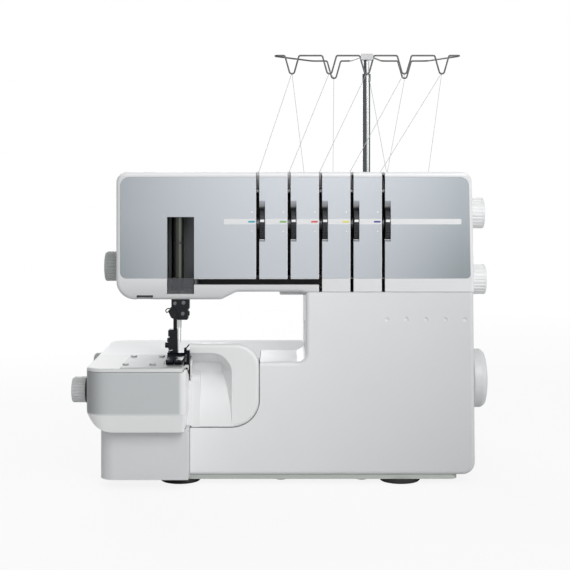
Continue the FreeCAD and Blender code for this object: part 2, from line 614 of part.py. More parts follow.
# Frame, drive and stitching parts
def frame_casting():
    floor = box(-165, 180, FACE_Y + 40, FACE_Y + 150, 14, 22)
    front_floor = box(-62, 180, FACE_Y + 29.5, FACE_Y + 41, 14, 22)
    legs = [box(x - 6, x + 6, FACE_Y + 50, FACE_Y + 140, BASE_Z, 14) for x in (-120, 0, 120)]
    bearings = [box(x, x + 12, SHAFT_Y - 13, SHAFT_Y + 13, 20, SHAFT_Z + 13) for x in (-60, 30, 160)]
    looper_posts = [box(x - 6, x + 6, FACE_Y + 44, FACE_Y + 56, 20, LOOPER_PIVOT_Z + 7)
                    for x in (LOWER_LOOPER_X, UPPER_LOOPER_X)]
    knife_post = box(-60, -52, FACE_Y + 30, FACE_Y + 41, 20, KNIFE_PIVOT_Z + 5.5)
    saddle = box(70, 120, MOTOR_Y - 18, MOTOR_Y + 18, 20, MOTOR_Z - 12)
    post = box(28, 50, FACE_Y + 76, FACE_Y + 150, 20, 252)
    beam = box(-122, 50, FACE_Y + 62, FACE_Y + 110, 232, 252)
    head = box(-122, -86, FACE_Y + 44, FACE_Y + 64, 184.4, 285)
    upper_bracket = box(-122, -86, FACE_Y + 5, FACE_Y + 46, 266, 274)
    lower_bracket = box(-116, -89, FACE_Y + 5, FACE_Y + 46, 184.4, 189)
    lifter_boss = box(-136, -120, FACE_Y + 50, FACE_Y + 60, LIFTER_Z - 8, LIFTER_Z + 8)
    shape = union(floor, front_floor, *legs, *bearings, *looper_posts, knife_post, saddle, post, beam, head,
                  upper_bracket, lower_bracket, lifter_boss)
    cutters = [rod(-100, SHAFT_Y, SHAFT_Z, X_AXIS, 300, SHAFT_RADIUS + 2.02),
               rod(0, MOTOR_Y, MOTOR_Z, X_AXIS, 150, MOTOR_RADIUS + 0.1),
               rod(NEEDLE_X, NEEDLE_Y, 150, Z_AXIS, 150, NEEDLE_BAR_RADIUS + RUN_FIT),
               rod(PRESSER_X, PRESSER_Y, 150, Z_AXIS, 150, PRESSER_RADIUS + RUN_FIT),
               rod(LIFTER_X, FACE_Y + 40, LIFTER_Z, Y_AXIS, 40, LIFTER_RADIUS + RUN_FIT),
               rod(-100, KNIFE_PIVOT_Y, KNIFE_PIVOT_Z, X_AXIS, 60, 3 + RUN_FIT)]
    for x in (LOWER_LOOPER_X, UPPER_LOOPER_X):
        cutters.append(rod(x, FACE_Y + 30, LOOPER_PIVOT_Z, Y_AXIS, 40, LOOPER_PIN + RUN_FIT))
    return shape.cut(cutters)


def shaft_bushes():
    return [tube(x, SHAFT_Y, SHAFT_Z, X_AXIS, 12, SHAFT_RADIUS + 2, SHAFT_RADIUS + RUN_FIT)
            for x in (-60, 30, 160)]


def main_shaft():
    return rod(-75, SHAFT_Y, SHAFT_Z, X_AXIS, 273, SHAFT_RADIUS)


def grooved_pulley(y, z, radius, bore, teeth):
    wheel = tube(PULLEY_X, y, z, X_AXIS, PULLEY_WIDTH, radius, bore)
    grooves = []
    for step in range(teeth):
        angle = 2 * math.pi * step / teeth
        grooves.append(rod(PULLEY_X - 1, y + radius * math.cos(angle), z + radius * math.sin(angle), X_AXIS,
                           PULLEY_WIDTH + 2, 0.9))
    return wheel.cut(grooves)


def shaft_pulley():
    return grooved_pulley(SHAFT_Y, SHAFT_Z, PULLEY_RADIUS, SHAFT_RADIUS + 0.01, 42)


def motor_pulley():
    pulley = grooved_pulley(MOTOR_Y, MOTOR_Z, MOTOR_PULLEY_RADIUS, 2.0, 15)
    return union(pulley, rod(PULLEY_X - 16, MOTOR_Y, MOTOR_Z, X_AXIS, PULLEY_WIDTH + 17, 3.0))


def belt_loop(extra):
    """Solid that wraps both pulleys, wider than them by extra."""
    span = math.hypot(MOTOR_Y - SHAFT_Y, MOTOR_Z - SHAFT_Z)
    lean = math.asin((PULLEY_RADIUS - MOTOR_PULLEY_RADIUS) / span)
    along = math.atan2(MOTOR_Z - SHAFT_Z, MOTOR_Y - SHAFT_Y)
    corners = []
    for turn in (along + math.pi / 2 - lean, along - math.pi / 2 + lean):
        for y, z, radius in ((SHAFT_Y, SHAFT_Z, PULLEY_RADIUS), (MOTOR_Y, MOTOR_Z, MOTOR_PULLEY_RADIUS)):
            reach = radius + extra
            corners.append((y + reach * math.cos(turn), z + reach * math.sin(turn)))
    strip = along_x([corners[0], corners[1], corners[3], corners[2]], PULLEY_X + 1, PULLEY_X + 11)
    ends = [rod(PULLEY_X + 1, SHAFT_Y, SHAFT_Z, X_AXIS, 10, PULLEY_RADIUS + extra),
            rod(PULLEY_X + 1, MOTOR_Y, MOTOR_Z, X_AXIS, 10, MOTOR_PULLEY_RADIUS + extra)]
    return union(strip, *ends)


def drive_belt():
    return belt_loop(BELT_FIT + BELT_THICK).cut(belt_loop(BELT_FIT))


def motor():
    can = rod(62, MOTOR_Y, MOTOR_Z, X_AXIS, 68, MOTOR_RADIUS)
    can = can.makeFillet(3.0, can.Edges[:1] + can.Edges[2:])
    boss = rod(128, MOTOR_Y, MOTOR_Z, X_AXIS, 6, 10)
    return union(can, boss).cut(rod(120, MOTOR_Y, MOTOR_Z, X_AXIS, 40, 3.0 + RUN_FIT))


def handwheel():
    inner = COLUMN_RIGHT + 1.0
    profile = [(inner, 0), (inner, 24), (inner + 2.5, HANDWHEEL_RADIUS), (OUTER_X - 5, HANDWHEEL_RADIUS),
               (OUTER_X - 1.2, HANDWHEEL_RADIUS - 3.0), (OUTER_X, HANDWHEEL_RADIUS - 8), (OUTER_X - 2, 12),
               (OUTER_X - 2, 0)]
    radii = (0, 0, 2.0, 4.0, 3.0, 2.0, 0, 0)
    points = [(x, SHAFT_Z + height, radius) for (x, height), radius in zip(profile, radii)]
    wire = closed_outline(points, lambda x, z: Vector(x, SHAFT_Y, z))
    wheel = Part.Face(wire).revolve(Vector(0, SHAFT_Y, SHAFT_Z), X_AXIS, 360)
    return wheel.cut(rod(inner - 1, SHAFT_Y, SHAFT_Z, X_AXIS, 198 - inner + 1, SHAFT_RADIUS + 0.01))


def knob_hole(name):
    side, wall, y, z = KNOBS[name][:4]
    return rod(wall - side * 16, y, z, X_AXIS * side, 24, KNOB_SHAFT + RUN_FIT)


def fluted_knob(name):
    """Turning knob: a plain base ring, a fluted grip and the shaft behind it."""
    side, wall, y, z, radius, length = KNOBS[name]
    outward = X_AXIS * side
    base = rod(wall + side * KNOB_GAP, y, z, outward, 3.0, radius - 0.6)
    start = wall + side * (KNOB_GAP + 2.8)
    grip = rod(start, y, z, outward, length - KNOB_GAP - 2.8, radius)
    outer_edge = [edge for edge in grip.Edges if abs(edge.BoundBox.Center.x - wall) > length - 1]
    grip = grip.makeFillet(1.6, outer_edge)
    flutes = []
    for step in range(KNOB_FLUTES):
        angle = 2 * math.pi * step / KNOB_FLUTES
        flutes.append(rod(start - side, y + (radius + 0.5) * math.cos(angle), z + (radius + 0.5) * math.sin(angle),
                          outward, length - 4.5, 1.1))
    shaft = rod(wall - side * 14, y, z, outward, 15, KNOB_SHAFT)
    return union(grip.cut(flutes), base, shaft)


def needle_bar():
    bar = rod(NEEDLE_X, NEEDLE_Y, 176, Z_AXIS, 112, NEEDLE_BAR_RADIUS)
    groove = tube(NEEDLE_X, NEEDLE_Y, 234.6, Z_AXIS, 2.2, NEEDLE_BAR_RADIUS + 1, NEEDLE_BAR_RADIUS - 0.6)
    return bar.cut(groove)


def needle_clamp():
    """Clamp block with a slanted thread guide plate at its left."""
    front = FACE_Y + 3.0
    upper = box(-110.0, -92.4, front + 1, front + 14, 171, 181.5)
    upper = upper.makeFillet(1.2, [edge for edge in upper.Edges if abs(edge.Length - 10.5) < 0.01])
    lower = box(-104.6, -93.6, front, front + 13.5, 160.2, 171.4)
    lower = lower.makeChamfer(1.0, [edge for edge in lower.Edges if edge.BoundBox.ZMax < 160.21])
    guide = along_y([(-110.6, 172.4), (-104, 172.4), (-104, 160.6), (-106.4, 160.6, 1), (-110.2, 162.2, 2),
                     (-113.0, 168.4, 2)], front + 1, front + 7)
    screw = rod(-94.0, NEEDLE_Y, 166, X_AXIS, 1.6, 2.2)
    shape = union(upper, lower, guide, screw)
    cutters = [rod(NEEDLE_X, NEEDLE_Y, 175.98, Z_AXIS, 20, NEEDLE_BAR_RADIUS + 0.02)]
    cutters += [rod(x, NEEDLE_Y, 150, Z_AXIS, 22, 1.02) for x in needle_places()]
    return shape.cut(cutters)


def needle_places():
    return (NEEDLE_X - NEEDLE_SPACING / 2 + 0.5, NEEDLE_X + NEEDLE_SPACING / 2 + 0.5)


def needles():
    shapes = []
    for x in needle_places():
        shank = rod(x, NEEDLE_Y, 152, Z_AXIS, 19, 1.0)
        blade = rod(x, NEEDLE_Y, NEEDLE_TIP_Z + 4, Z_AXIS, 12, 0.5)
        tip = Part.makeCone(0.1, 0.5, 4, Vector(x, NEEDLE_Y, NEEDLE_TIP_Z), Z_AXIS)
        shapes.append(union(shank, blade, tip))
    return shapes


def presser_bar():
    slim = rod(PRESSER_X, PRESSER_Y, 138, Z_AXIS, 36, PRESSER_NECK)
    return union(slim, rod(PRESSER_X, PRESSER_Y, 172, Z_AXIS, 119, PRESSER_RADIUS))


def presser_shank():
    """Shank with a stepped left side, a side knob and a rear release lever."""
    block = box(-114.4, -105.2, FACE_Y + 19.5, FACE_Y + 31.5, 126.4, 148.6)
    block = block.makeFillet(1.2, [edge for edge in block.Edges if edge.BoundBox.ZMin > 148.5])
    notch = box(-116, -113.0, FACE_Y + 19, FACE_Y + 32, 140.6, 142.0)
    step = box(-115.4, -114, FACE_Y + 20.5, FACE_Y + 30.5, 136.6, 140.2)
    lever = box(-110.5, -106.5, FACE_Y + 31, FACE_Y + 41, 136, 139)
    knob = rod(-117.8, PRESSER_Y, 132.6, X_AXIS, 4, 2.7)
    bore = rod(PRESSER_X, PRESSER_Y, 137.98, Z_AXIS, 30, PRESSER_NECK + 0.02)
    return union(block.cut(notch), step, lever, knob).cut(bore)


def presser_foot():
    sole_z = BED_TOP + 1.0
    toes = along_x([(FACE_Y - 29, sole_z + 3.2), (FACE_Y - 27, sole_z + 5), (FACE_Y - 18, sole_z + 3.4),
                    (FACE_Y + 17, sole_z + 3.4), (FACE_Y + 17, sole_z), (FACE_Y - 22, sole_z)], -112.6, -97.4)
    heel = along_x([(FACE_Y + 14, sole_z), (FACE_Y + 14, 125), (FACE_Y + 16, 126.4), (FACE_Y + 31, 126.4),
                    (FACE_Y + 33, sole_z)], -114.8, -97.4)
    needle_way = box(NEEDLE_X - 2.3, NEEDLE_X + 3.3, NEEDLE_Y - 2.4, NEEDLE_Y + 2.4, 100, 140)
    toe_gap = box(-105.6, -104.4, FACE_Y - 40, FACE_Y - 6, 100, 140)
    return union(toes, heel).cut([needle_way, toe_gap])


def upper_knife():
    reach = [(KNIFE_PIVOT_Y + 3.2, KNIFE_PIVOT_Z), (KNIFE_PIVOT_Y + 3, KNIFE_PIVOT_Z + 10),
             (FACE_Y + 14, 126), (FACE_Y + 6, 131.5), (FACE_Y - 3, 131.5), (FACE_Y - 6, 117), (FACE_Y + 10, 117),
             (KNIFE_PIVOT_Y - 6, KNIFE_PIVOT_Z - 2), (KNIFE_PIVOT_Y - 1, KNIFE_PIVOT_Z - 5)]
    arm = along_x(reach, -94.6, PANEL_LEFT - PART_GAP)
    arm = arm.makeFillet(0.6, [edge for edge in arm.Edges if edge.BoundBox.XLength > 2])
    return union(arm, rod(-94.6, KNIFE_PIVOT_Y, KNIFE_PIVOT_Z, X_AXIS, 46, 3.0))


def lower_knife():
    return box(-97.0, -95.6, FACE_Y + 0.5, FACE_Y + 16, 106, BED_TOP + 0.4)


def looper(points, x, front):
    blade = along_y(points, front, front + 4)
    pin = rod(x, front, LOOPER_PIVOT_Z, Y_AXIS, FACE_Y + 62 - front, LOOPER_PIN)
    return union(blade, pin)


def lower_looper():
    points = [(-140, 70, 3), (-130, 70, 3), (-129.5, 91, 4), (-113, 98.5), (-111, 101.5, 1), (-134, 99, 8)]
    return looper(points, LOWER_LOOPER_X, FACE_Y + 16)


def upper_looper():
    points = [(-75, 70, 3), (-65, 70, 3), (-70, 96, 6), (-92, 110, 1), (-94, 107.5, 1), (-77, 93, 3)]
    return looper(points, UPPER_LOOPER_X, FACE_Y + 39.6)


def feed_dog():
    bar = box(-115.2, -112.8, FACE_Y - 8, FACE_Y + 26, 111, BED_TOP + 0.2)
    teeth = [box(-116, -112, FACE_Y - 8 + 3 * step, FACE_Y - 6.6 + 3 * step, BED_TOP - 0.7, BED_TOP + 2)
             for step in range(12)]
    carrier = box(-118, -112.8, FACE_Y - 8, FACE_Y + 34, 110, 113)
    return union(bar.cut(teeth), carrier)


def presser_lifter_lever():
    """Lifter with a weight inside the arm that balances its handle."""
    shaft = rod(LIFTER_X, FACE_Y + 36, LIFTER_Z, Y_AXIS, BACK_Y + 2 - FACE_Y - 36, LIFTER_RADIUS)
    lever = along_y([(LIFTER_X - 7, LIFTER_Z - 7, 6), (LIFTER_X - 7, LIFTER_Z + 7, 6),
                     (LIFTER_X + 44, LIFTER_Z + 1, 5), (LIFTER_X + 44, LIFTER_Z - 11, 5)], BACK_Y + 1, BACK_Y + 7)
    finger = box(LIFTER_X, LIFTER_X + 14, FACE_Y + 39.0, FACE_Y + 43, LIFTER_Z - 3, LIFTER_Z + 3)
    front = SPLIT_Y + 12
    link = box(LIFTER_X - BALANCE_ARM, LIFTER_X, front, front + 6, LIFTER_Z - 3, LIFTER_Z + 3)
    turning = union(shaft, lever, finger, link)
    volume = turning.Volume * (turning.CenterOfGravity.x - LIFTER_X) / BALANCE_ARM
    rise = turning.Volume * (LIFTER_Z - turning.CenterOfGravity.z) / volume
    weight = box(LIFTER_X - BALANCE_ARM - BALANCE_SIZE / 2, LIFTER_X - BALANCE_ARM + BALANCE_SIZE / 2,
                 front + 6, front + 6 + volume / BALANCE_SIZE ** 2,
                 LIFTER_Z + rise - BALANCE_SIZE / 2, LIFTER_Z + rise + BALANCE_SIZE / 2)
    return union(turning, weight)


# Thread stand
def spool_stand():
    plan = [(TRAY[0], TRAY[2], 4), (TRAY[1], TRAY[2], 4), (TRAY[1], TRAY[3], 30), (TRAY[0], TRAY[3], 30)]
    tray = along_z(plan, TRAY_Z, TRAY_Z + TRAY_THICK)
    tray = fillet_where(tray, 2.0, on_top(TRAY_Z + TRAY_THICK))
    lip = along_z(plan, TRAY_Z - 8, TRAY_Z + 1).cut(along_z(plan, TRAY_Z - 9, TRAY_Z + 2, 3))
    socket = rod(STAND_X, STAND_Y, TRAY_Z - 8, Z_AXIS, 24, STAND_OUTER_RADIUS + 4)
    holes = [rod(STAND_X, STAND_Y, TRAY_Z - 4, Z_AXIS, 60, STAND_OUTER_RADIUS + 0.02)]
    holes += [rod(x, y, TRAY_Z + 1, Z_AXIS, 30, 3.02) for x, y in SPOOLS]
    return union(tray, lip, socket).cut(holes)


def spool_pins():
    floor = TRAY_Z + 1
    return [rod(x, y, floor, Z_AXIS, SPOOL_PIN_TOP - floor, 3.0) for x, y in SPOOLS]


def thread_spools():
    """Wound cones: a core with a crosswound body that tapers to the top."""
    shapes = []
    floor = TRAY_Z + TRAY_THICK + 0.2
    for x, y in SPOOLS:
        body = Part.makeCone(SPOOL_RADIUS, SPOOL_RADIUS - 6, SPOOL_HEIGHT - 12, Vector(x, y, floor + 6), Z_AXIS)
        core = Part.makeCone(SPOOL_RADIUS - 6, SPOOL_RADIUS - 10, SPOOL_HEIGHT, Vector(x, y, floor), Z_AXIS)
        shapes.append(union(body, core).cut(rod(x, y, floor - 1, Z_AXIS, SPOOL_HEIGHT + 2, 3.3)))
    return shapes


def stand_outer_tube():
    low = TRAY_Z - 4
    return tube(STAND_X, STAND_Y, low, Z_AXIS, STAND_OUTER_TOP - low, STAND_OUTER_RADIUS,
                STAND_TUBE_RADIUS + RUN_FIT)


def stand_upper_tube():
    lower = rod(STAND_X, STAND_Y, 178, Z_AXIS, STAND_COLLAR[0] - 178, STAND_TUBE_RADIUS)
    collar = rod(STAND_X, STAND_Y, STAND_COLLAR[0], Z_AXIS, STAND_COLLAR[1] - STAND_COLLAR[0],
                 STAND_TUBE_RADIUS + 0.5)
    top = rod(STAND_X, STAND_Y, STAND_COLLAR[1], Z_AXIS, 432 - STAND_COLLAR[1], STAND_ROD_RADIUS)
    return union(lower, collar, top)


def guide_path():
    """Bent wire seen from above as two loops, with a dip where each thread passes."""
    points = []

    def add(x, y, z, radius):
        points.append((Vector(x, y, z), radius))

    def dip(x, y, step):
        add(x - step * GUIDE_HALF, y, GUIDE_TOP, 2.0)
        add(x, y, GUIDE_POINT, GUIDE_BEND)
        add(x + step * GUIDE_HALF, y, GUIDE_TOP, 2.0)

    left, right = GUIDE_ENDS
    clamp_y = STAND_Y + 1
    add(STAND_X - 4, clamp_y, GUIDE_TOP, 0)
    add(STAND_X - 15, GUIDE_BACK_Y, GUIDE_TOP, 6)
    dip(BACK_EYES[0], GUIDE_BACK_Y, -1)
    add(34, GUIDE_BACK_Y, GUIDE_TOP, 8)
    add(left, GUIDE_ROW_Y + 9, GUIDE_TOP, 3)
    add(left, GUIDE_ROW_Y, GUIDE_TOP, 3)
    for index in range(SLOT_COUNT):
        dip(guide_x(index), GUIDE_ROW_Y, 1)
    add(right, GUIDE_ROW_Y, GUIDE_TOP, 3)
    add(right, GUIDE_ROW_Y + 9, GUIDE_TOP, 3)
    add(169, GUIDE_BACK_Y, GUIDE_TOP, 8)
    dip(BACK_EYES[1], GUIDE_BACK_Y, -1)
    add(STAND_X + 22, GUIDE_BACK_Y, GUIDE_TOP, 6)
    add(STAND_X + 4, clamp_y, GUIDE_TOP, 0)
    return rounded_path(points, False)


def thread_guide_wire():
    path = guide_path()
    start = path.Edges[0].valueAt(path.Edges[0].FirstParameter)
    heading = path.Edges[0].tangentAt(path.Edges[0].FirstParameter)
    profile = Part.Wire([Part.makeCircle(GUIDE_WIRE, start, heading)])
    return path.makePipeShell([profile], True, False)


def guide_clamp(wire):
    low, high = 431.0, 437.5
    clamp = box(STAND_X - 7, STAND_X + 7, GUIDE_ROW_Y - 2.2, STAND_Y + 5, low, high)
    clamp = clamp.makeFillet(1.5, [edge for edge in clamp.Edges if edge.BoundBox.ZMin > high - 0.01])
    return clamp.cut([rod(STAND_X, STAND_Y, 400, Z_AXIS, 32, STAND_ROD_RADIUS + 0.02), wire])


def thread_between(start, end):
    run = end - start
    return Part.makeCylinder(THREAD_RADIUS, run.Length, start, run)


def dip_bottom():
    """Height of the wire's middle at the bottom of a dip, where the bend rounds off its point."""
    half = math.atan2(GUIDE_HALF, GUIDE_TOP - GUIDE_POINT)
    return GUIDE_POINT + GUIDE_BEND / math.sin(half) - GUIDE_BEND


def thread_eye(index):
    return Vector(guide_x(index), GUIDE_ROW_Y, dip_bottom())


def back_eye(place):
    return Vector(BACK_EYES[place], GUIDE_BACK_Y, dip_bottom())


def guide_threads():
    return [thread_between(Vector(slot_x(index), SLOT_DEEP_Y - 2, ARM_TOP - 1), thread_eye(index) + THREAD_OVER)
            for index in range(SLOT_COUNT)]


def spool_threads():
    """Threads from the cones; the one for the middle dip comes from a back corner, clear of the tube."""
    middle = thread_eye(2) + THREAD_BEHIND + Vector(1.6, 0, 0.6)
    ends = [thread_eye(0) + THREAD_BEHIND, back_eye(0) + THREAD_BEHIND, back_eye(1) + THREAD_UNDER, middle,
            thread_eye(4) + THREAD_BEHIND]
    threads = []
    for (x, y), end in zip(SPOOLS, ends):
        side = -1 if end.x < x - 5 and y < FACE_Y + 250 else 1
        threads.append(thread_between(Vector(x + side * SPOOL_LIP, y, SPOOL_TOP + 0.4), end))
    return threads


# Power and fasteners
def power_inlet():
    plate = box(176, 188.6, FACE_Y + 96.4, FACE_Y + 145.6, 26.4, 57.6)
    plate = plate.makeFillet(1.0, [edge for edge in plate.Edges if edge.BoundBox.XMin > 188.5])
    socket = box(178, 190, FACE_Y + 119, FACE_Y + 142, 33, 51)
    rocker_way = box(170, 190, FACE_Y + 100, FACE_Y + 114, 30, 54)
    pins = [box(177, 186, FACE_Y + 125 + step, FACE_Y + 127 + step, 40, 44) for step in (0, 9)]
    pivot = rod(ROCKER_X, FACE_Y + 98.4, ROCKER_Z, Y_AXIS, 17.2, ROCKER_PIN + RUN_FIT)
    return union(plate.cut([socket, rocker_way, pivot]), *pins)


def power_switch():
    rocker = along_y([(179.5, 31.5, 1), (187.2, 31.5, 1), (186.6, 42, 1), (188.6, 52.5, 1), (179.5, 52.5, 1)],
                     FACE_Y + 100.5, FACE_Y + 113.5)
    return union(rocker, rod(ROCKER_X, FACE_Y + 98.8, ROCKER_Z, Y_AXIS, 16.4, ROCKER_PIN))


def casing_screws():
    places = [(x, z) for x in (-150, 0, 170) for z in (200, 290)] + [(x, z) for x in (40, 170) for z in (30, 170)]
    screws = []
    for x, z in places:
        head = rod(x, BACK_Y + 0.05, z, Y_AXIS, 1.6, 4.0)
        cross = [box(x - 2.5, x + 2.5, BACK_Y + 0.9, BACK_Y + 3, z - 0.5, z + 0.5),
                 box(x - 0.5, x + 0.5, BACK_Y + 0.9, BACK_Y + 3, z - 2.5, z + 2.5)]
        screws.append(head.cut(cross))
    return screws


def build_pieces():
    wire = thread_guide_wire()
    pieces = {
        "base_plate": base_plate(),
        "rubber_feet": rubber_feet(),
        "left_base_cover": left_base_cover(),
        "column_front_panel": column_front_panel(),
        "column_rear_cover": column_rear_cover(),
        "bed_cover": bed_cover(),
        "cloth_plate": cloth_plate(),
        "stitch_plate": stitch_plate(),
        "arm_front_frame": arm_front_frame(),
        "arm_rear_cover": arm_rear_cover(),
        "face_panels": face_panel_pieces(),
        "needle_window_guard": needle_window_guard(),
        "window_liner": window_liner(),
        "slot_liner": slot_liner(),
        "lamp_lens": lamp_lens(),
        "frame_casting": frame_casting(),
        "shaft_bushes": shaft_bushes(),
        "drive_belt": drive_belt(),
        "motor": motor(),
        "front_cover": front_cover(),
        "front_cover_hinge_pins": front_cover_hinge_pins(),
        "handwheel": handwheel(),
        "main_shaft": main_shaft(),
        "shaft_pulley": shaft_pulley(),
        "motor_pulley": motor_pulley(),
        "tension_units": tension_studs() + tension_discs() + slot_thread_guides(),
        "needle_bar": needle_bar(),
        "needle_clamp": needle_clamp(),
        "needles": needles(),
        "presser_bar": presser_bar(),
        "presser_shank": presser_shank(),
        "presser_foot": presser_foot(),
        "presser_lifter_lever": presser_lifter_lever(),
        "upper_knife": upper_knife(),
        "lower_knife": lower_knife(),
        "upper_looper": upper_looper(),
        "lower_looper": lower_looper(),
        "feed_dog": feed_dog(),
        "spool_stand": spool_stand(),
        "spool_pins": spool_pins(),
        "thread_spools": thread_spools(),
        "stand_outer_tube": stand_outer_tube(),
        "stand_upper_tube": stand_upper_tube(),
        "guide_clamp": guide_clamp(wire),
        "thread_guide_wire": wire,
        "guide_threads": guide_threads(),
        "spool_threads": spool_threads(),
        "power_inlet": power_inlet(),
        "power_switch": power_switch(),
        "casing_screws": casing_screws() + stitch_plate_screws(),
    }
    for index in range(SLOT_COUNT):
        pieces["tension_dial_%d" % (index + 1)] = tension_dial(index)
    for name in KNOBS:
        pieces[name] = fluted_knob(name)
    return pieces


def main():
    os.makedirs("parts", exist_ok=True)
    for name, shape in build_pieces().items():
        solid = Part.makeCompound(shape) if isinstance(shape, list) else shape
        solid.exportStep("parts/%s.step" % name)


if __name__ == "__main__":
    main()
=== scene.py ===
import json
import math

import bmesh
import bpy
from mathutils import Matrix, Vector


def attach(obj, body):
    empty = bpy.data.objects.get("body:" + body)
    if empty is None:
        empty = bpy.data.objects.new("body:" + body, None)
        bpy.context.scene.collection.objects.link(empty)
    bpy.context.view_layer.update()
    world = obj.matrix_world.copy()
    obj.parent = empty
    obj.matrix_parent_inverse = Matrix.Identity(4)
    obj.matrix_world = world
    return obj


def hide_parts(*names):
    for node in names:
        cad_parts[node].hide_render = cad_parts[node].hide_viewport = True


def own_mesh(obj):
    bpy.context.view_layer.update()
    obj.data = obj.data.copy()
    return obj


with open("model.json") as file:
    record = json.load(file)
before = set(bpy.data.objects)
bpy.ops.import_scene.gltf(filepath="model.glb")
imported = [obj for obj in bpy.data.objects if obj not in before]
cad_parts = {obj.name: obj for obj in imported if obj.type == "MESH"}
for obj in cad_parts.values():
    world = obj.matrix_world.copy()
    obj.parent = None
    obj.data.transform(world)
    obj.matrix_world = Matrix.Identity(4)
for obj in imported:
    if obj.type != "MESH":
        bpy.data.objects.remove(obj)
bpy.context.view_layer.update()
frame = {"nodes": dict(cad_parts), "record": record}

MM = 0.001

# Places shared with the solids, in millimetres: X right, Y back, Z up
FACE_Y = -122.0
ARM_TOP = 305.0
SLOT_XS = [-25.3 + 30.68 * index for index in range(5)]
SLOT_HALF = 1.6
WHEEL_RIGHT = 7.3
WHEEL_MIDDLE = 4.4
WHEEL_RADIUS = 20.0
WHEEL_Y = FACE_Y + 18.5
WHEEL_Z = 254.0
HIGHLIGHT_RISE = 3.4
STRIPE_Z = 256.6
STRIPE_HEIGHT = 5.4
STRIPE_ENDS = (-58.4, 173.5)
DASH_COLOURS = {
    "cyan": (0.03, 0.40, 0.52),
    "green": (0.22, 0.48, 0.14),
    "red": (0.72, 0.09, 0.09),
    "yellow": (0.82, 0.74, 0.16),
    "indigo": (0.07, 0.06, 0.30),
}
GUIDE_XS = [10.0 + 42.0 * index for index in range(5)]
GUIDE_ROW_Y = FACE_Y + 186.0
GUIDE_BACK_Y = FACE_Y + 256.0
BACK_EYE_XS = (60.0, 143.0)
EYE_Z = 416.2
SPOOL_PLACES = ((43.0, 86.0), (52.0, 136.0), (94.0, 102.0), (136.0, 136.0), (145.0, 86.0))
FRONT_CONES_Y = 100.0
SPOOL_FLOOR = 76.2
SPOOL_HEIGHT = 120.0
SPOOL_TOP = SPOOL_FLOOR + SPOOL_HEIGHT
SPOOL_LIP = 6.0
THREAD_RADIUS = 0.25

NEEDLE_X = -103.0
NEEDLE_Y = FACE_Y + 10.0
BED_TOP = 119.5
# Middle of the bed block's rounded front left corner, 18 from its outer skin: X and Y
BLOCK_CORNER = (-170.1, FACE_Y - 25.0)
ARM_BOTTOM = 180.4
# Side (-1 left, 1 right), wall X, Y, Z and radius of each turning knob
KNOBS = {
    "stitch_length_knob": (1, 184.6, FACE_Y + 48.0, 263.5, 15.5),
    "differential_feed_knob": (1, 186.0, FACE_Y + 48.0, 196.5, 15.0),
    "foot_pressure_knob": (-1, -163.6, FACE_Y + 45.0, 210.0, 15.0),
    "cutting_width_knob": (-1, -188.1, FACE_Y - 6.0, 94.0, 12.4),
    "looper_selector_knob": (-1, -188.1, FACE_Y + 104.0, 101.5, 12.4),
}

# Camera of the photograph: 570 pixels square, horizon and middle line in pixels
IMAGE_SIZE = 570.0
FOCAL_PIXELS = 1281.0
MIDDLE_PIXEL = (279.0, 172.0)
CAMERA_PLACE = (-4.5, FACE_Y - 1250.0, 305.0)
SENSOR = 36.0
FLOOR_GLOW = 0.88
FLOOR_TONE = (0.75, 0.75, 0.75)
FLOOR_FADE = (1500.0, 600.0)
FLOOR_RADIUS = 2000.0
WORLD_LEVEL = 0.26

# Values that the finishes share: painted shade colours, the run of grinding lines, and fades in millimetres
# that place painted shade and painted highlights
PLASTIC_IOR = 1.46
GROUND_ALONG_X = (1.0, 14.0, 14.0)
GROUND_ALONG_Z = (12.0, 12.0, 1.0)
DRAWN_ALONG_X = (1.0, 6.0, 6.0)
DRAWN_ALONG_Z = (14.0, 14.0, 1.0)
DEEP_SHADE = (0.012, 0.012, 0.013)
PANEL_END_SHADE = (0.53, 0.61, 0.65)
PANEL_FADE = 173.205
PANEL_LOW_FADE = (262.0, 187.0)
PANEL_SHADE_TOP = 200.0
RECESS_FADE = (FACE_Y + 0.15, FACE_Y + 4.65)
SCOOP_FADE = (239.5, 243.5)
SCOOP_TOP_FADE = (280.0, 279.6)
OPENING_FADE = (FACE_Y + 0.6, FACE_Y + 2.8)
OPENINGS_LEFT_FADE = (-32.0, -31.0)
OPENINGS_RIGHT_FADE = (112.0, 111.0)
CHIN_FADE = (199.0, 185.0)
CHIN_END_FADE = (34.0, 32.0)
CROWN_FADE = (300.5, 302.5)
CROWN_BACK_FADE = (FACE_Y + 10.0, FACE_Y + 4.0)
RAMP_FADE = (289.5, 302.0)
SKIN_FADE = (16.5, 17.3)
BLOCK_END_FADE = (-158.0, -184.0)
BLOCK_RIGHT_FADE = (-96.5, -99.5)
BLOCK_FOOT_FADE = (75.2, 77.2)
BEVEL_FADE = (75.6, 74.6)


# Shader maths
class Value:
    """A node output that takes Python arithmetic."""

    def __init__(self, finish, socket):
        self.finish = finish
        self.socket = socket

    def __add__(self, other):
        return self.finish.maths("ADD", self, other)

    def __sub__(self, other):
        return self.finish.maths("SUBTRACT", self, other)

    def __mul__(self, other):
        return self.finish.maths("MULTIPLY", self, other)

    def __truediv__(self, other):
        return self.finish.maths("DIVIDE", self, other)

    def __radd__(self, other):
        return self.finish.maths("ADD", other, self)

    def __rsub__(self, other):
        return self.finish.maths("SUBTRACT", other, self)

    def __rmul__(self, other):
        return self.finish.maths("MULTIPLY", other, self)


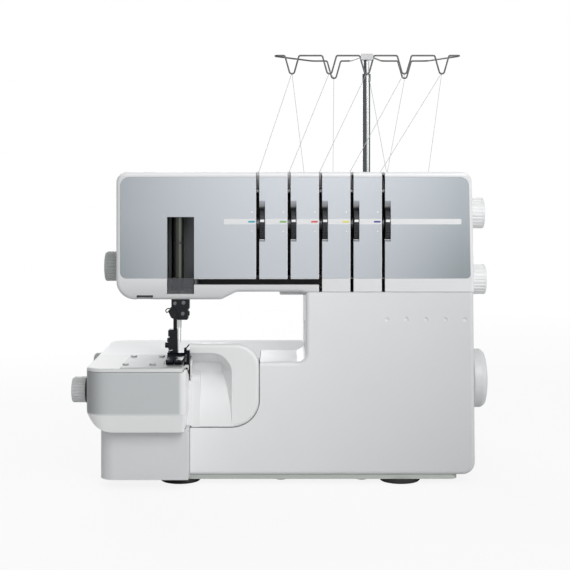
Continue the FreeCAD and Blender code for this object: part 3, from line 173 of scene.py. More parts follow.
class Finish:
    """A surface finish built from nodes."""

    def __init__(self, name, **constants):
        self.material = bpy.data.materials.new(name)
        self.material.use_nodes = True
        self.tree = self.material.node_tree
        self.shader = self.tree.nodes["Principled BSDF"]
        for socket, value in constants.items():
            self.shader.inputs[socket.replace("_", " ")].default_value = value

    def node(self, kind, settings=None, values=None, output=0):
        made = self.tree.nodes.new(kind)
        for name, value in (settings or {}).items():
            if name == "stops":
                self.set_stops(made.color_ramp, value)
            else:
                setattr(made, name, value)
        for name, value in (values or {}).items():
            self.feed(made.inputs[name], value)
        return Value(self, made.outputs[output])

    def set_stops(self, ramp, stops):
        while len(ramp.elements) < len(stops):
            ramp.elements.new(0.5)
        for element, (place, colour) in zip(ramp.elements, stops):
            element.position = place
            element.color = colour

    def feed(self, socket, value):
        if isinstance(value, Value):
            self.tree.links.new(value.socket, socket)
        else:
            socket.default_value = value

    def maths(self, operation, first, second):
        return self.node("ShaderNodeMath", {"operation": operation}, {0: first, 1: second})

    def clamp(self, value):
        return self.node("ShaderNodeClamp", None, {"Value": value})

    def place(self):
        return self.node("ShaderNodeTexCoord", None, None, "Object")

    def axis(self, letter):
        return self.node("ShaderNodeSeparateXYZ", None, {"Vector": self.place()}, letter)

    def rise(self, value, start, end):
        """0 up to start, 1 from end on, in millimetres along an axis or length; end may be the lower."""
        length = self.axis(value) if isinstance(value, str) else value
        return self.clamp((length - start * MM) / ((end - start) * MM))

    def noise(self, scale, detail=2.0, roughness=0.5, stretch=(1.0, 1.0, 1.0)):
        spot = self.node("ShaderNodeMapping", None, {"Vector": self.place(), "Scale": stretch})
        return self.node("ShaderNodeTexNoise", None,
                         {"Vector": spot, "Scale": scale, "Detail": detail, "Roughness": roughness}, "Fac")

    def mix(self, share, first, second):
        return self.node("ShaderNodeMix", {"data_type": "RGBA"}, {0: share, 6: first, 7: second}, 2)

    def colour(self, value):
        self.feed(self.shader.inputs["Base Color"], value)

    def roughness(self, value):
        self.feed(self.shader.inputs["Roughness"], value)

    def bump(self, height, strength, distance):
        values = {"Height": height, "Strength": strength, "Distance": distance}
        normal = self.node("ShaderNodeBump", None, values)
        self.feed(self.shader.inputs["Normal"], normal)


def rgba(colour):
    return (colour[0], colour[1], colour[2], 1.0)


def shade(colour, factor):
    return rgba([value * factor for value in colour])


def spark_grain(finish, gloss):
    """Fine spark grain in the surface of moulded plastic."""
    speck = finish.noise(1400.0, 2.0)
    finish.roughness(gloss + 0.08 * speck)
    finish.bump(speck, 0.05, 0.0002)


def clouded(finish, colour, low=0.97, high=1.02):
    """A colour with faint cloudiness."""
    return finish.mix(finish.noise(14.0, 3.0), shade(colour, low), shade(colour, high))


def moulded_plastic(name, colour, gloss, sheen=0.5):
    """Moulded plastic: faint cloudiness in the colour, fine spark grain in the surface."""
    finish = Finish(name, IOR=PLASTIC_IOR, Specular_IOR_Level=sheen)
    finish.colour(clouded(finish, colour))
    spark_grain(finish, gloss)
    return finish.material


def metallic_lacquer(name, colour):
    """Silver lacquer with fine flakes; painted shade darkens it towards the panel's ends and its lower part,
    and painted shade fills its recesses.
    """
    finish = Finish(name, Coat_Weight=0.25, Coat_Roughness=0.12, Metallic=0.55)
    flake = finish.noise(2600.0, 1.0)
    # Painted shade: the lacquer darkens towards the panel's ends and towards its bottom
    offset = finish.axis("X") / (PANEL_FADE * MM)
    ends = finish.clamp(offset * offset)
    low = finish.rise("Z", *PANEL_LOW_FADE)
    depth = finish.clamp(0.70 * ends + 0.04 * low + 0.35 * ends * low)
    shaded_satin = finish.mix(depth, shade(colour, 0.99), shade(PANEL_END_SHADE, 0.44))
    lacquer = finish.mix(0.12 * flake, shaded_satin, shade(colour, 1.2))
    # Painted shade fills the thumbwheel recesses, except the lit lower scoop
    recess_shade = finish.rise("Z", *SCOOP_FADE) * finish.rise("Y", *RECESS_FADE)
    finish.colour(finish.mix(recess_shade, lacquer, rgba(DEEP_SHADE)))
    finish.roughness(0.34 + 0.10 * flake)
    finish.bump(flake, 0.04, 0.0001)
    return finish.material


def arm_plastic(name, colour, gloss):
    """Moulded arm cover with painted light: a painted highlight along its top front edge, and painted shade
    under its chin and inside the thumbwheel openings.
    """
    finish = Finish(name, IOR=PLASTIC_IOR)
    plain = clouded(finish, colour)
    # Painted shade under the chin of the arm
    chin_shade = finish.rise("Z", *CHIN_FADE) * finish.rise("X", *CHIN_END_FADE)
    plain = finish.mix(chin_shade, plain, shade(colour, 0.80))
    # Painted highlight along the top front edge of the arm
    crown_highlight = finish.rise("Z", *CROWN_FADE) * finish.rise("Y", *CROWN_BACK_FADE)
    plain = finish.mix(crown_highlight, plain, shade(colour, 1.18))
    # Painted shade inside the thumbwheel openings
    depth = finish.rise("Y", *OPENING_FADE)
    across = finish.rise("X", *OPENINGS_LEFT_FADE) * finish.rise("X", *OPENINGS_RIGHT_FADE)
    upright = finish.rise("Z", *SCOOP_FADE) * finish.rise("Z", *SCOOP_TOP_FADE)
    finish.colour(finish.mix(depth * across * upright, plain, rgba(DEEP_SHADE)))
    spark_grain(finish, gloss)
    return finish.material


def panel_plastic(name, colour, gloss):
    """Moulded column panel: painted shade deepens it a little towards the lower right."""
    finish = Finish(name, IOR=PLASTIC_IOR)
    plain = clouded(finish, colour, 1.0, 1.05)
    # Painted shade, deeper towards the lower right
    fall_shade = finish.clamp(3.3 * finish.axis("X") + 2.0 * (PANEL_SHADE_TOP * MM - finish.axis("Z")))
    finish.colour(finish.mix(fall_shade, plain, shade(colour, 0.70)))
    spark_grain(finish, gloss)
    return finish.material


def ramp_plastic(name, colour):
    """Slot ramp: pale at the top of the arm, with painted shade darkening it where it runs into the slot."""
    finish = Finish(name, Roughness=0.5)
    # Painted shade: dark at the ramp's low end inside the slot, pale at its top
    height = finish.rise("Z", *RAMP_FADE)
    finish.colour(finish.mix(height * height, rgba(DEEP_SHADE), rgba(colour)))
    return finish.material


def painted_highlight_tube(name, middle_x, radius, highlight_colour, shadow_colour, metal):
    """Dark plated tube with a painted highlight: one bright line right of its middle."""
    finish = Finish(name, Metallic=metal)
    # Painted highlight: a bright line just right of the middle, darker towards the sides
    offset = (finish.axis("X") - middle_x * MM) / (radius * MM) - 0.30
    side = finish.clamp(offset * offset * 14.0 - 0.2)
    finish.colour(finish.mix(side, rgba(highlight_colour), rgba(shadow_colour)))
    lines = finish.noise(900.0, 3.0, 0.6, DRAWN_ALONG_Z)
    finish.roughness(0.16 + 0.14 * lines)
    return finish.material


def brushed_metal(name, colour, gloss, stretch, scale=900.0):
    """Ground metal with fine lines along one direction."""
    finish = Finish(name, Metallic=1.0)
    lines = finish.noise(scale, 3.0, 0.6, stretch)
    stain = finish.noise(40.0, 3.0)
    finish.colour(finish.mix(stain, shade(colour, 0.90), shade(colour, 1.04)))
    finish.roughness(gloss + 0.16 * lines)
    finish.bump(lines, 0.08, 0.0001)
    return finish.material


def dull_rubber(name, colour):
    finish = Finish(name)
    speck = finish.noise(700.0, 3.0)
    finish.colour(finish.mix(speck, shade(colour, 0.8), shade(colour, 1.6)))
    finish.roughness(0.62 + 0.2 * speck)
    finish.bump(speck, 0.15, 0.0003)
    return finish.material


def cover_plastic(name, colour, shaded_front_colour, gloss):
    """Moulded cover with painted light: painted shade makes its proud front deeper than the rest, most at
    its rounded left end, and a painted highlight brightens the bevel under that front.
    """
    finish = Finish(name, IOR=PLASTIC_IOR)
    across = finish.maths("MINIMUM", finish.axis("X") - BLOCK_CORNER[0] * MM, 0.0)
    forward = finish.maths("MINIMUM", finish.axis("Y") - BLOCK_CORNER[1] * MM, 0.0)
    reach = finish.maths("SQRT", across * across + forward * forward, 0.0)
    skin = finish.rise(reach, *SKIN_FADE)
    left = finish.rise("X", *BLOCK_END_FADE)
    share = skin * finish.rise("X", *BLOCK_RIGHT_FADE) * finish.rise("Z", *BLOCK_FOOT_FADE)
    # Painted highlight on the bevel under the proud front
    bevel = finish.rise("Z", *BEVEL_FADE) * finish.rise("Y", BLOCK_CORNER[1], BLOCK_CORNER[1] - 1.0)
    base = finish.mix(bevel, rgba(colour), shade(colour, 1.12))
    # Painted shade on the proud front, deepest at its rounded left end
    front = finish.mix(left * left, rgba(shaded_front_colour), shade(shaded_front_colour, 0.55))
    painted_light_tone = finish.mix(share, base, front)
    finish.colour(finish.mix(0.06 * finish.noise(14.0, 3.0), painted_light_tone, shade(colour, 1.04)))
    spark_grain(finish, gloss)
    return finish.material


def clear_plastic(name, colour, alpha, gloss):
    finish = Finish(name, IOR=PLASTIC_IOR, Alpha=alpha)
    speck = finish.noise(60.0, 2.0)
    finish.colour(finish.mix(speck, shade(colour, 0.9), shade(colour, 1.1)))
    finish.roughness(gloss + 0.05 * speck)
    return finish.material


def wound_thread(name, colour):
    """Wound thread: level turns on the cone, with finer strands across them."""
    finish = Finish(name, Sheen_Weight=0.3)
    strands = finish.node("ShaderNodeTexWave", {"wave_type": "BANDS", "bands_direction": "Z"},
                          {"Vector": finish.place(), "Scale": 330.0, "Distortion": 1.5}, "Fac")
    cross = finish.noise(900.0, 2.0, 0.5, (1.0, 1.0, 3.0))
    height = 0.7 * strands + 0.3 * cross
    finish.colour(finish.mix(height, shade(colour, 0.55), shade(colour, 1.1)))
    finish.roughness(0.55 + 0.2 * cross)
    finish.bump(height, 0.5, 0.0006)
    return finish.material


def printed_ink(name, colour):
    finish = Finish(name)
    speck = finish.noise(1800.0, 1.0)
    finish.colour(finish.mix(speck, shade(colour, 0.96), shade(colour, 1.04)))
    finish.roughness(0.36 + 0.06 * speck)
    return finish.material


FINISHES = {
    "white_plastic": moulded_plastic("white_plastic", (0.80, 0.81, 0.82), 0.30),
    "silver_panel": metallic_lacquer("silver_panel", (0.52, 0.547, 0.588)),
    "grey_plastic": moulded_plastic("grey_plastic", (0.50, 0.53, 0.50), 0.42),
    "light_grey_plastic": moulded_plastic("light_grey_plastic", (0.68, 0.69, 0.70), 0.30),
    "knob_grey": moulded_plastic("knob_grey", (0.84, 0.85, 0.855), 0.30),
    "black_plastic": moulded_plastic("black_plastic", (0.016, 0.016, 0.018), 0.45),
    "black_rubber": dull_rubber("black_rubber", (0.012, 0.012, 0.013)),
    "steel": brushed_metal("steel", (0.60, 0.61, 0.62), 0.24, GROUND_ALONG_X),
    "chrome": brushed_metal("chrome", (0.74, 0.75, 0.77), 0.14, DRAWN_ALONG_Z),
    "dark_steel": brushed_metal("dark_steel", (0.16, 0.165, 0.175), 0.26, GROUND_ALONG_Z),
    "dial_metal": brushed_metal("dial_metal", (0.040, 0.041, 0.044), 0.30, (1.0, 8.0, 8.0)),
    "cast_aluminium": brushed_metal("cast_aluminium", (0.55, 0.56, 0.57), 0.45, (1.0, 1.0, 1.0), 260.0),
    "bronze": brushed_metal("bronze", (0.55, 0.36, 0.18), 0.40, DRAWN_ALONG_X),
    "smoke_plastic": clear_plastic("smoke_plastic", (0.10, 0.105, 0.115), 0.55, 0.12),
    "clear_lens": clear_plastic("clear_lens", (0.85, 0.88, 0.92), 0.5, 0.35),
    "thread": wound_thread("thread", (0.66, 0.67, 0.70)),
    "spool_thread": wound_thread("spool_thread", (0.62, 0.64, 0.68)),
}
# Its second colour is the painted shade of the cover's proud front
COVER_FINISH = cover_plastic("front_cover_plastic", (0.86, 0.865, 0.87), (0.56, 0.59, 0.60), 0.30)
WINDOW_FINISH = moulded_plastic("window_plastic", (0.17, 0.185, 0.195), 0.20)
# The needle bar's finish carries a painted highlight line
NEEDLE_BAR_FINISH = painted_highlight_tube("needle_bar_steel", NEEDLE_X, 5.0, (0.12, 0.127, 0.108),
                               (0.032, 0.035, 0.028), 0.4)
BLUED_STEEL = brushed_metal("blued_steel", (0.026, 0.027, 0.030), 0.30, GROUND_ALONG_Z)
FOOT_STEEL = brushed_metal("foot_steel", (0.022, 0.024, 0.030), 0.30, GROUND_ALONG_Z)
BLACK_STEEL = brushed_metal("black_steel", (0.008, 0.009, 0.012), 0.30, GROUND_ALONG_Z)
BED_FINISH = moulded_plastic("bed_plastic", (0.83, 0.84, 0.85), 0.50, sheen=0.15)
CLOTH_FINISH = moulded_plastic("cloth_plate_plastic", (0.77, 0.775, 0.78), 0.50, sheen=0.15)
PLATE_STEEL = brushed_metal("plate_steel", (0.40, 0.405, 0.41), 0.58, GROUND_ALONG_X)
ARM_FINISH = arm_plastic("arm_plastic", (0.80, 0.81, 0.82), 0.30)
PANEL_FINISH = panel_plastic("panel_plastic", (0.86, 0.87, 0.88), 0.30)
BASE_COVER_FINISH = moulded_plastic("base_cover_plastic", (0.72, 0.73, 0.74), 0.30)
SHADED_KNOB = moulded_plastic("shaded_knob_grey", (0.44, 0.465, 0.455), 0.36)
SIDE_KNOB = moulded_plastic("side_knob_grey", (0.58, 0.60, 0.60), 0.36)
RAMP_FINISH = ramp_plastic("ramp_plastic", (0.55, 0.56, 0.58))
# The stand tubes' finish carries a painted highlight line
TUBE_FINISH = painted_highlight_tube("painted_highlight_tube", 94.0, 4.4, (0.62, 0.63, 0.64), (0.085, 0.095, 0.095), 1.0)
WIRE_FINISH = brushed_metal("wire_steel", (0.10, 0.10, 0.105), 0.25, DRAWN_ALONG_X)
STRIPE_WHITE = printed_ink("stripe_white", (0.84, 0.85, 0.86))
DASH_INKS = {name: printed_ink("dash_" + name, colour) for name, colour in DASH_COLOURS.items()}

NODE_FINISHES = {
    "front_cover": COVER_FINISH,
    "window_liner": WINDOW_FINISH,
    "needle_bar": NEEDLE_BAR_FINISH,
    "tension_units": FINISHES["dark_steel"],
    "needle_clamp": BLUED_STEEL,
    "presser_bar": BLUED_STEEL,
    "presser_shank": BLUED_STEEL,
    "presser_foot": FOOT_STEEL,
    "upper_knife": BLACK_STEEL,
    "bed_cover": BED_FINISH,
    "cloth_plate": CLOTH_FINISH,
    "stitch_plate": PLATE_STEEL,
    "lower_knife": BLACK_STEEL,
    "needles": FINISHES["steel"],
    "arm_front_frame": ARM_FINISH,
    "casing_screws": PLATE_STEEL,
    "column_front_panel": PANEL_FINISH,
    "left_base_cover": BASE_COVER_FINISH,
    "foot_pressure_knob": SHADED_KNOB,
    "cutting_width_knob": SIDE_KNOB,
    "looper_selector_knob": SHADED_KNOB,
    "stand_upper_tube": TUBE_FINISH,
    "stand_outer_tube": TUBE_FINISH,
    "thread_guide_wire": WIRE_FINISH,
}
for entry in frame["record"]["subparts"]:
    node = frame["nodes"][entry["node"]]
    node.data.materials.clear()
    node.data.materials.append(NODE_FINISHES.get(entry["node"], FINISHES[entry["material_slot"]]))


# New pieces
def add_piece(name, shape, finish, body, smooth=False):
    """Turns a bmesh in millimetres into a piece in metres that rides on a body."""
    bmesh.ops.scale(shape, vec=(MM, MM, MM), verts=shape.verts)
    bmesh.ops.recalc_face_normals(shape, faces=shape.faces)
    mesh = bpy.data.meshes.new(name)
    shape.to_mesh(mesh)
    shape.free()
    for face in mesh.polygons:
        face.use_smooth = smooth
    mesh.materials.append(finish)
    piece = bpy.data.objects.new(name, mesh)
    bpy.context.scene.collection.objects.link(piece)
    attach(piece, body)
    return piece


def add_plate(shape, low, high, corner=0.0, axis=1):
    """Adds a box between two corners; its edges along the axis may be rounded."""
    size = [high[index] - low[index] for index in range(3)]
    middle = [(high[index] + low[index]) / 2 for index in range(3)]
    made = bmesh.ops.create_cube(shape, size=1.0)["verts"]
    bmesh.ops.scale(shape, vec=size, verts=made)
    bmesh.ops.translate(shape, vec=middle, verts=made)
    if corner:
        edges = {edge for vert in made for edge in vert.link_edges}
        along = [edge for edge in edges if abs((edge.verts[0].co - edge.verts[1].co)[axis]) > 1e-6]
        bmesh.ops.bevel(shape, geom=along, offset=corner, segments=6, profile=0.5, affect="EDGES",
                        material=-1)


def add_rod(shape, start, end, radius, sides=10):
    run = Vector(end) - Vector(start)
    turn = run.to_track_quat("Z", "Y").to_matrix().to_4x4()
    place = Matrix.Translation((Vector(start) + Vector(end)) / 2) @ turn
    bmesh.ops.create_cone(shape, cap_ends=True, segments=sides, radius1=radius, radius2=radius,
                          depth=run.length, matrix=place)


def add_turned(shape, profile, sides=48):
    """Turns a closed (radius, height) profile about an upright axis."""
    verts = [shape.verts.new((radius, 0.0, height)) for radius, height in profile]
    edges = [shape.edges.new(pair) for pair in zip(verts, verts[1:] + verts[:1])]
    made = bmesh.ops.spin(shape, geom=verts + edges, cent=(0, 0, 0), axis=(0, 0, 1), angle=2 * math.pi,
                          steps=sides, use_merge=True)
    bmesh.ops.remove_doubles(shape, verts=shape.verts, dist=1e-5)
    return made


def bent_wire(name, points, radius, finish, body):
    """A smooth wire that follows a few points."""
    curve = bpy.data.curves.new(name + "_line", "CURVE")
    curve.dimensions = "3D"
    curve.bevel_depth = radius * MM
    curve.bevel_resolution = 3
    curve.use_fill_caps = True
    line = curve.splines.new("NURBS")
    line.points.add(len(points) - 1)
    for point, place in zip(line.points, points):
        point.co = (place[0] * MM, place[1] * MM, place[2] * MM, 1.0)
    line.order_u = 3
    line.use_endpoint_u = True
    passing = bpy.data.objects.new(name + "_line", curve)
    mesh = bpy.data.meshes.new_from_object(passing)
    bpy.data.objects.remove(passing)
    bpy.data.curves.remove(curve)
    shape = bmesh.new()
    shape.from_mesh(mesh)
    bpy.data.meshes.remove(mesh)
    bmesh.ops.remove_doubles(shape, verts=shape.verts, dist=1e-7)
    bmesh.ops.scale(shape, vec=(1 / MM, 1 / MM, 1 / MM), verts=shape.verts)
    return add_piece(name, shape, finish, body, True)


def add_screw(shape, centre, axis, radius, height, groove=0.9):
    """A slotted screw head that stands on centre and points along axis."""
    turn = Vector(axis).to_track_quat("Z", "Y").to_matrix().to_4x4()
    place = Matrix.Translation(centre) @ turn
    head = bmesh.new()
    bmesh.ops.create_cone(head, cap_ends=True, segments=24, radius1=radius, radius2=radius, depth=height,
                          matrix=Matrix.Translation((0, 0, height / 2)))
    rim = [edge for edge in head.edges if all(vert.co.z > height - 0.01 for vert in edge.verts)]
    bmesh.ops.bevel(head, geom=rim, offset=radius * 0.12, segments=2, profile=0.5, affect="EDGES",
                    material=-1)
    for side in (-1, 1):
        bmesh.ops.bisect_plane(head, geom=head.verts[:] + head.edges[:] + head.faces[:],
                               plane_co=(0, side * groove / 2, 0), plane_no=(0, 1, 0))
    middles = [(face, face.calc_center_median()) for face in head.faces]
    floor = [face for face, middle in middles if middle.z > height - 0.01 and abs(middle.y) < groove / 2]
    sunk = bmesh.ops.extrude_face_region(head, geom=floor)["geom"]
    moved = [item for item in sunk if isinstance(item, bmesh.types.BMVert)]
    bmesh.ops.translate(head, vec=(0, 0, -height * 0.4), verts=moved)
    bmesh.ops.delete(head, geom=floor, context="FACES")
    bmesh.ops.transform(head, matrix=place, verts=head.verts)
    join_shape(shape, head)


def join_shape(shape, part):
    """Moves a finished bmesh into another one."""
    passing = bpy.data.meshes.new("passing")
    part.to_mesh(passing)
    part.free()
    shape.from_mesh(passing)
    bpy.data.meshes.remove(passing)


# Printed stripe and thread colour dashes on the face panel
def printed_stripe():
    """White stripe along the face panel, broken at each slot and thumbwheel."""
    proud = 0.12
    sunk = 0.2
    gap = 0.1
    corner = 1.2
    shape = bmesh.new()
    left = STRIPE_ENDS[0]
    for index in range(len(SLOT_XS) + 1):
        right = SLOT_XS[index] - SLOT_HALF - gap if index < len(SLOT_XS) else STRIPE_ENDS[1]
        low = (left, FACE_Y - proud, STRIPE_Z - STRIPE_HEIGHT / 2)
        high = (right, FACE_Y + sunk, STRIPE_Z + STRIPE_HEIGHT / 2)
        add_plate(shape, low, high, corner)
        if index < len(SLOT_XS):
            left = SLOT_XS[index] + WHEEL_RIGHT
    return add_piece("printed_stripe", shape, STRIPE_WHITE, "machine")


def colour_dashes():
    """Thread colour dash on the stripe, left of each slot."""
    left, right = 9.2, 2.8
    bottom, top = 255.6, 257.3
    proud, sunk = 0.2, 0.1
    corner = 0.5
    for x, (name, ink) in zip(SLOT_XS, DASH_INKS.items()):
        shape = bmesh.new()
        add_plate(shape, (x - left, FACE_Y - proud, bottom), (x - right, FACE_Y + sunk, top), corner)
        add_piece("thread_dash_" + name, shape, ink, "machine")


def dial_marks():
    """Pale dots beside each thumbwheel, above and below the stripe."""
    offset = 5.6
    heights_and_halves = ((266.0, 0.7), (247.2, 0.5))
    proud = 0.1
    corner = 0.3
    shape = bmesh.new()
    for slot in SLOT_XS:
        x = slot - offset
        for z, half in heights_and_halves:
            low = (x - half, FACE_Y - proud, z - half)
            high = (x + half, FACE_Y + proud, z + half)
            add_plate(shape, low, high, corner)
    add_piece("dial_marks", shape, STRIPE_WHITE, "machine")


def dial_highlight_marks():
    """Painted highlight: a pale patch on the rim of each thumbwheel, a little above its middle."""
    half = Vector((2.0, 0.2, 1.2))
    corner = 0.3
    sunk = 0.05
    rise = math.asin(HIGHLIGHT_RISE / WHEEL_RADIUS)
    for index, x in enumerate(SLOT_XS):
        shape = bmesh.new()
        add_plate(shape, -half, half, corner)
        bmesh.ops.rotate(shape, cent=(0, 0, 0), matrix=Matrix.Rotation(-rise, 3, "X"), verts=shape.verts)
        reach = WHEEL_RADIUS - sunk
        centre = (x + WHEEL_MIDDLE, WHEEL_Y - reach * math.cos(rise), WHEEL_Z + reach * math.sin(rise))
        bmesh.ops.translate(shape, vec=centre, verts=shape.verts)
        add_piece("dial_highlight_mark_%d" % (index + 1), shape, STRIPE_WHITE, "tension_dial_%d" % (index + 1))


# Threads between spools, wire guide and slots
def thread_piece(name, runs, nodes):
    """Straight thread runs between the given points; the given CAD nodes are hidden."""
    shape = bmesh.new()
    for start, end in runs:
        add_rod(shape, start, end, THREAD_RADIUS, 6)
    piece = add_piece(name, shape, FINISHES["thread"], "machine", True)
    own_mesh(piece)
    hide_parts(nodes)
    return piece


def threads():
    """Runs from the slots and the cones up to the wire guide, and across the guide."""
    eyes = [(x, GUIDE_ROW_Y + 0.8, EYE_Z) for x in GUIDE_XS]
    back_eyes = [(x, GUIDE_BACK_Y + 0.8, EYE_Z) for x in BACK_EYE_XS]
    behind = [(x, GUIDE_ROW_Y + 1.5, EYE_Z - 0.4) for x in GUIDE_XS]
    below = (BACK_EYE_XS[1], GUIDE_BACK_Y, EYE_Z - 2.6)
    middle = (GUIDE_XS[2] + 1.6, GUIDE_ROW_Y + 1.5, EYE_Z)
    slots = [(x, FACE_Y + 46.0, ARM_TOP - 1) for x in SLOT_XS]
    thread_piece("slot_thread_runs", list(zip(slots, eyes)), "guide_threads")
    ends = [behind[0], back_eyes[0], below, middle, behind[4]]
    runs = []
    for (x, y), end in zip(SPOOL_PLACES, ends):
        # A front cone feeds from the side that its eye is on, the others from the right
        side = -1 if end[0] < x and y < FRONT_CONES_Y else 1
        runs.append(((x + side * SPOOL_LIP, y, SPOOL_TOP + 0.4), end))
    thread_piece("spool_thread_runs", runs, "spool_threads")
    shape = bmesh.new()
    for back, front in ((0, 1), (1, 3)):
        add_rod(shape, back_eyes[back], eyes[front], THREAD_RADIUS, 6)
    add_piece("guide_thread_runs", shape, FINISHES["thread"], "thread_stand", True)


def wound_spools():
    """Thread cones: a plain core that shows at both ends of the wound body."""
    top = SPOOL_HEIGHT
    profile = [(3.3, 0), (11.0, 0), (10.9, 4.5), (15.6, 5.8), (17.0, 8.0), (16.9, 11.0), (11.4, top - 9.0),
               (10.6, top - 6.6), (7.4, top - 5.8), (7.0, top - 0.5), (6.6, top), (3.3, top)]
    shape = bmesh.new()
    for x, y in SPOOL_PLACES:
        cone = bmesh.new()
        add_turned(cone, profile)
        bmesh.ops.translate(cone, vec=(x, y, SPOOL_FLOOR), verts=cone.verts)
        join_shape(shape, cone)
    piece = add_piece("wound_spools", shape, FINISHES["spool_thread"], "machine", True)
    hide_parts("thread_spools")


# Trim and small fittings
def slot_edge_highlights():
    """Painted highlight: a pale strip along the left edge of each thread slot."""
    width, overlap = 0.55, 0.02
    proud, sunk = 0.08, 1.0
    bottom, top = 201.4, 299.8
    shape = bmesh.new()
    for x in SLOT_XS:
        left = x - SLOT_HALF
        add_plate(shape, (left - width, FACE_Y - proud, bottom), (left + overlap, FACE_Y + sunk, top))
    add_piece("slot_edge_highlights", shape, STRIPE_WHITE, "machine")


def slot_ramps():
    """Pale ramps that lead each thread from the top of the arm into its slot; their finish darkens with
    painted shade inside the slot.
    """
    half = SLOT_HALF - 0.05
    front_y, back_y = FACE_Y + 0.6, FACE_Y + 40.0
    bottom, top = 289.2, 304.2
    drop = 14.2
    shape = bmesh.new()
    for x in SLOT_XS:
        ramp = bmesh.new()
        add_plate(ramp, (x - half, front_y, bottom), (x + half, back_y, top))
        front = [vert for vert in ramp.verts if vert.co.y < front_y + 1.0 and vert.co.z > top - 1.0]
        bmesh.ops.translate(ramp, vec=(0, 0, -drop), verts=front)
        join_shape(shape, ramp)
    add_piece("slot_ramps", shape, RAMP_FINISH, "machine")


def slot_pins():
    """Pale sleeves on the thread pins in the slots."""
    half = 1.4
    radius = 1.9
    y, z = FACE_Y + 7.0, 287.0
    shape = bmesh.new()
    for x in SLOT_XS:
        add_rod(shape, (x - half, y, z), (x + half, y, z), radius, 20)
    add_piece("slot_pin_sleeves", shape, STRIPE_WHITE, "machine", True)


def needle_bar_groove_shade():
    """Black band round the needle bar: painted shade standing in for the dark groove there."""
    inner, outer = 4.45, 5.03
    height = 2.1
    bottom = 234.65
    shape = bmesh.new()
    add_turned(shape, [(inner, 0.0), (outer, 0.0), (outer, height), (inner, height)])
    bmesh.ops.translate(shape, vec=(NEEDLE_X, NEEDLE_Y, bottom), verts=shape.verts)
    add_piece("needle_bar_groove_shade", shape, FINISHES["black_plastic"], "needle_bar")


def cutter_blade():
    """Thread cutter: a thin dark blade across the notch under the arm."""
    shape = bmesh.new()
    low = (-143.3, FACE_Y + 1.2, ARM_BOTTOM + 2.6)
    high = (-127.7, FACE_Y + 5.8, ARM_BOTTOM + 4.0)
    add_plate(shape, low, high, 0.4, 2)
    add_piece("thread_cutter_blade", shape, BLUED_STEEL, "machine")


def knob_marks():
    """Setting marks on the plain ring of each knob."""
    half = Vector((0.45, 0.12, 0.9))
    first, step, count = 150, 30, 8
    from_wall, from_rim = 2.2, 0.55
    for name, (side, wall, y, z, radius) in KNOBS.items():
        shape = bmesh.new()
        for index in range(count):
            turn = math.radians(first + step * index)
            reach = radius - from_rim
            centre = (wall + side * from_wall, y + reach * math.cos(turn), z + reach * math.sin(turn))
            mark = bmesh.new()
            add_plate(mark, -half, half)
            bmesh.ops.rotate(mark, cent=(0, 0, 0), matrix=Matrix.Rotation(turn - math.pi / 2, 3, "X"),
                             verts=mark.verts)
            bmesh.ops.translate(mark, vec=centre, verts=mark.verts)
            join_shape(shape, mark)
        add_piece(name + "_marks", shape, FINISHES["black_plastic"], name)


def knob_ring():
    """Black collar of the cutting width knob."""
    side, wall, y, z, radius = KNOBS["cutting_width_knob"]
    shape = bmesh.new()
    add_turned(shape, [(radius - 0.9, 0.0), (radius + 0.2, 0.0), (radius + 0.4, 0.4), (radius + 0.4, 2.8),
                       (radius - 0.9, 3.0)])
    bmesh.ops.rotate(shape, cent=(0, 0, 0), matrix=Matrix.Rotation(-math.pi / 2, 3, "Y"), verts=shape.verts)
    bmesh.ops.translate(shape, vec=(wall - 0.2, y, z), verts=shape.verts)
    add_piece("cutting_width_ring", shape, FINISHES["black_plastic"], "machine", True)


def stitch_plate_lines():
    """Fine seam guide lines on the stitch plate."""
    half_width, half_length = 0.2, 6.0
    sunk, proud = 0.05, 0.03
    top = BED_TOP + 0.7
    shape = bmesh.new()
    for x in (-146.0, -141.0, -136.0, -131.0):
        low = (x - half_width, FACE_Y - half_length, top - sunk)
        high = (x + half_width, FACE_Y + half_length, top + proud)
        add_plate(shape, low, high)
    add_piece("seam_guide_lines", shape, FINISHES["dark_steel"], "machine")


def clamp_fittings():
    """Clamp screws, dark discs of painted shade where the guide holes are, and the bent thread guide on the
    needle clamp.
    """
    front = FACE_Y + 3.0
    step_z, step_back = 171.4, 1.0
    height, groove = 1.2, 0.6
    shape = bmesh.new()
    for x, z, radius in ((-106.4, 176.4, 1.7), (-98.0, 177.0, 1.9), (-98.6, 166.4, 1.8)):
        seat = front + step_back if z > step_z else front
        add_screw(shape, (x, seat, z), (0, -1, 0), radius, height, groove)
    add_piece("clamp_screws", shape, FINISHES["dark_steel"], "needle_bar")
    # Painted shade: dark discs where the guide holes are
    hole_shades = bmesh.new()
    for x, z, radius in ((-106.6, 165.2, 1.0), (-109.0, 168.0, 0.8)):
        add_rod(hole_shades, (x, front + 0.8, z), (x, front + 1.2, z), radius, 16)
    add_piece("clamp_guide_hole_shades", hole_shades, FINISHES["black_rubber"], "needle_bar")
    loop = [(-101.9, front - 0.9, 160.8), (-102.7, front - 1.5, 163.3), (-105.1, front - 1.8, 168.2),
            (-109.0, front - 1.8, 171.6), (-113.4, front - 1.8, 171.8), (-115.4, front - 1.8, 169.8),
            (-114.4, front - 1.8, 167.6), (-112.4, front - 1.2, 168.4), (-112.0, front + 1.4, 169.6)]
    bent_wire("clamp_thread_guide", loop, 0.5, BLUED_STEEL, "needle_bar")


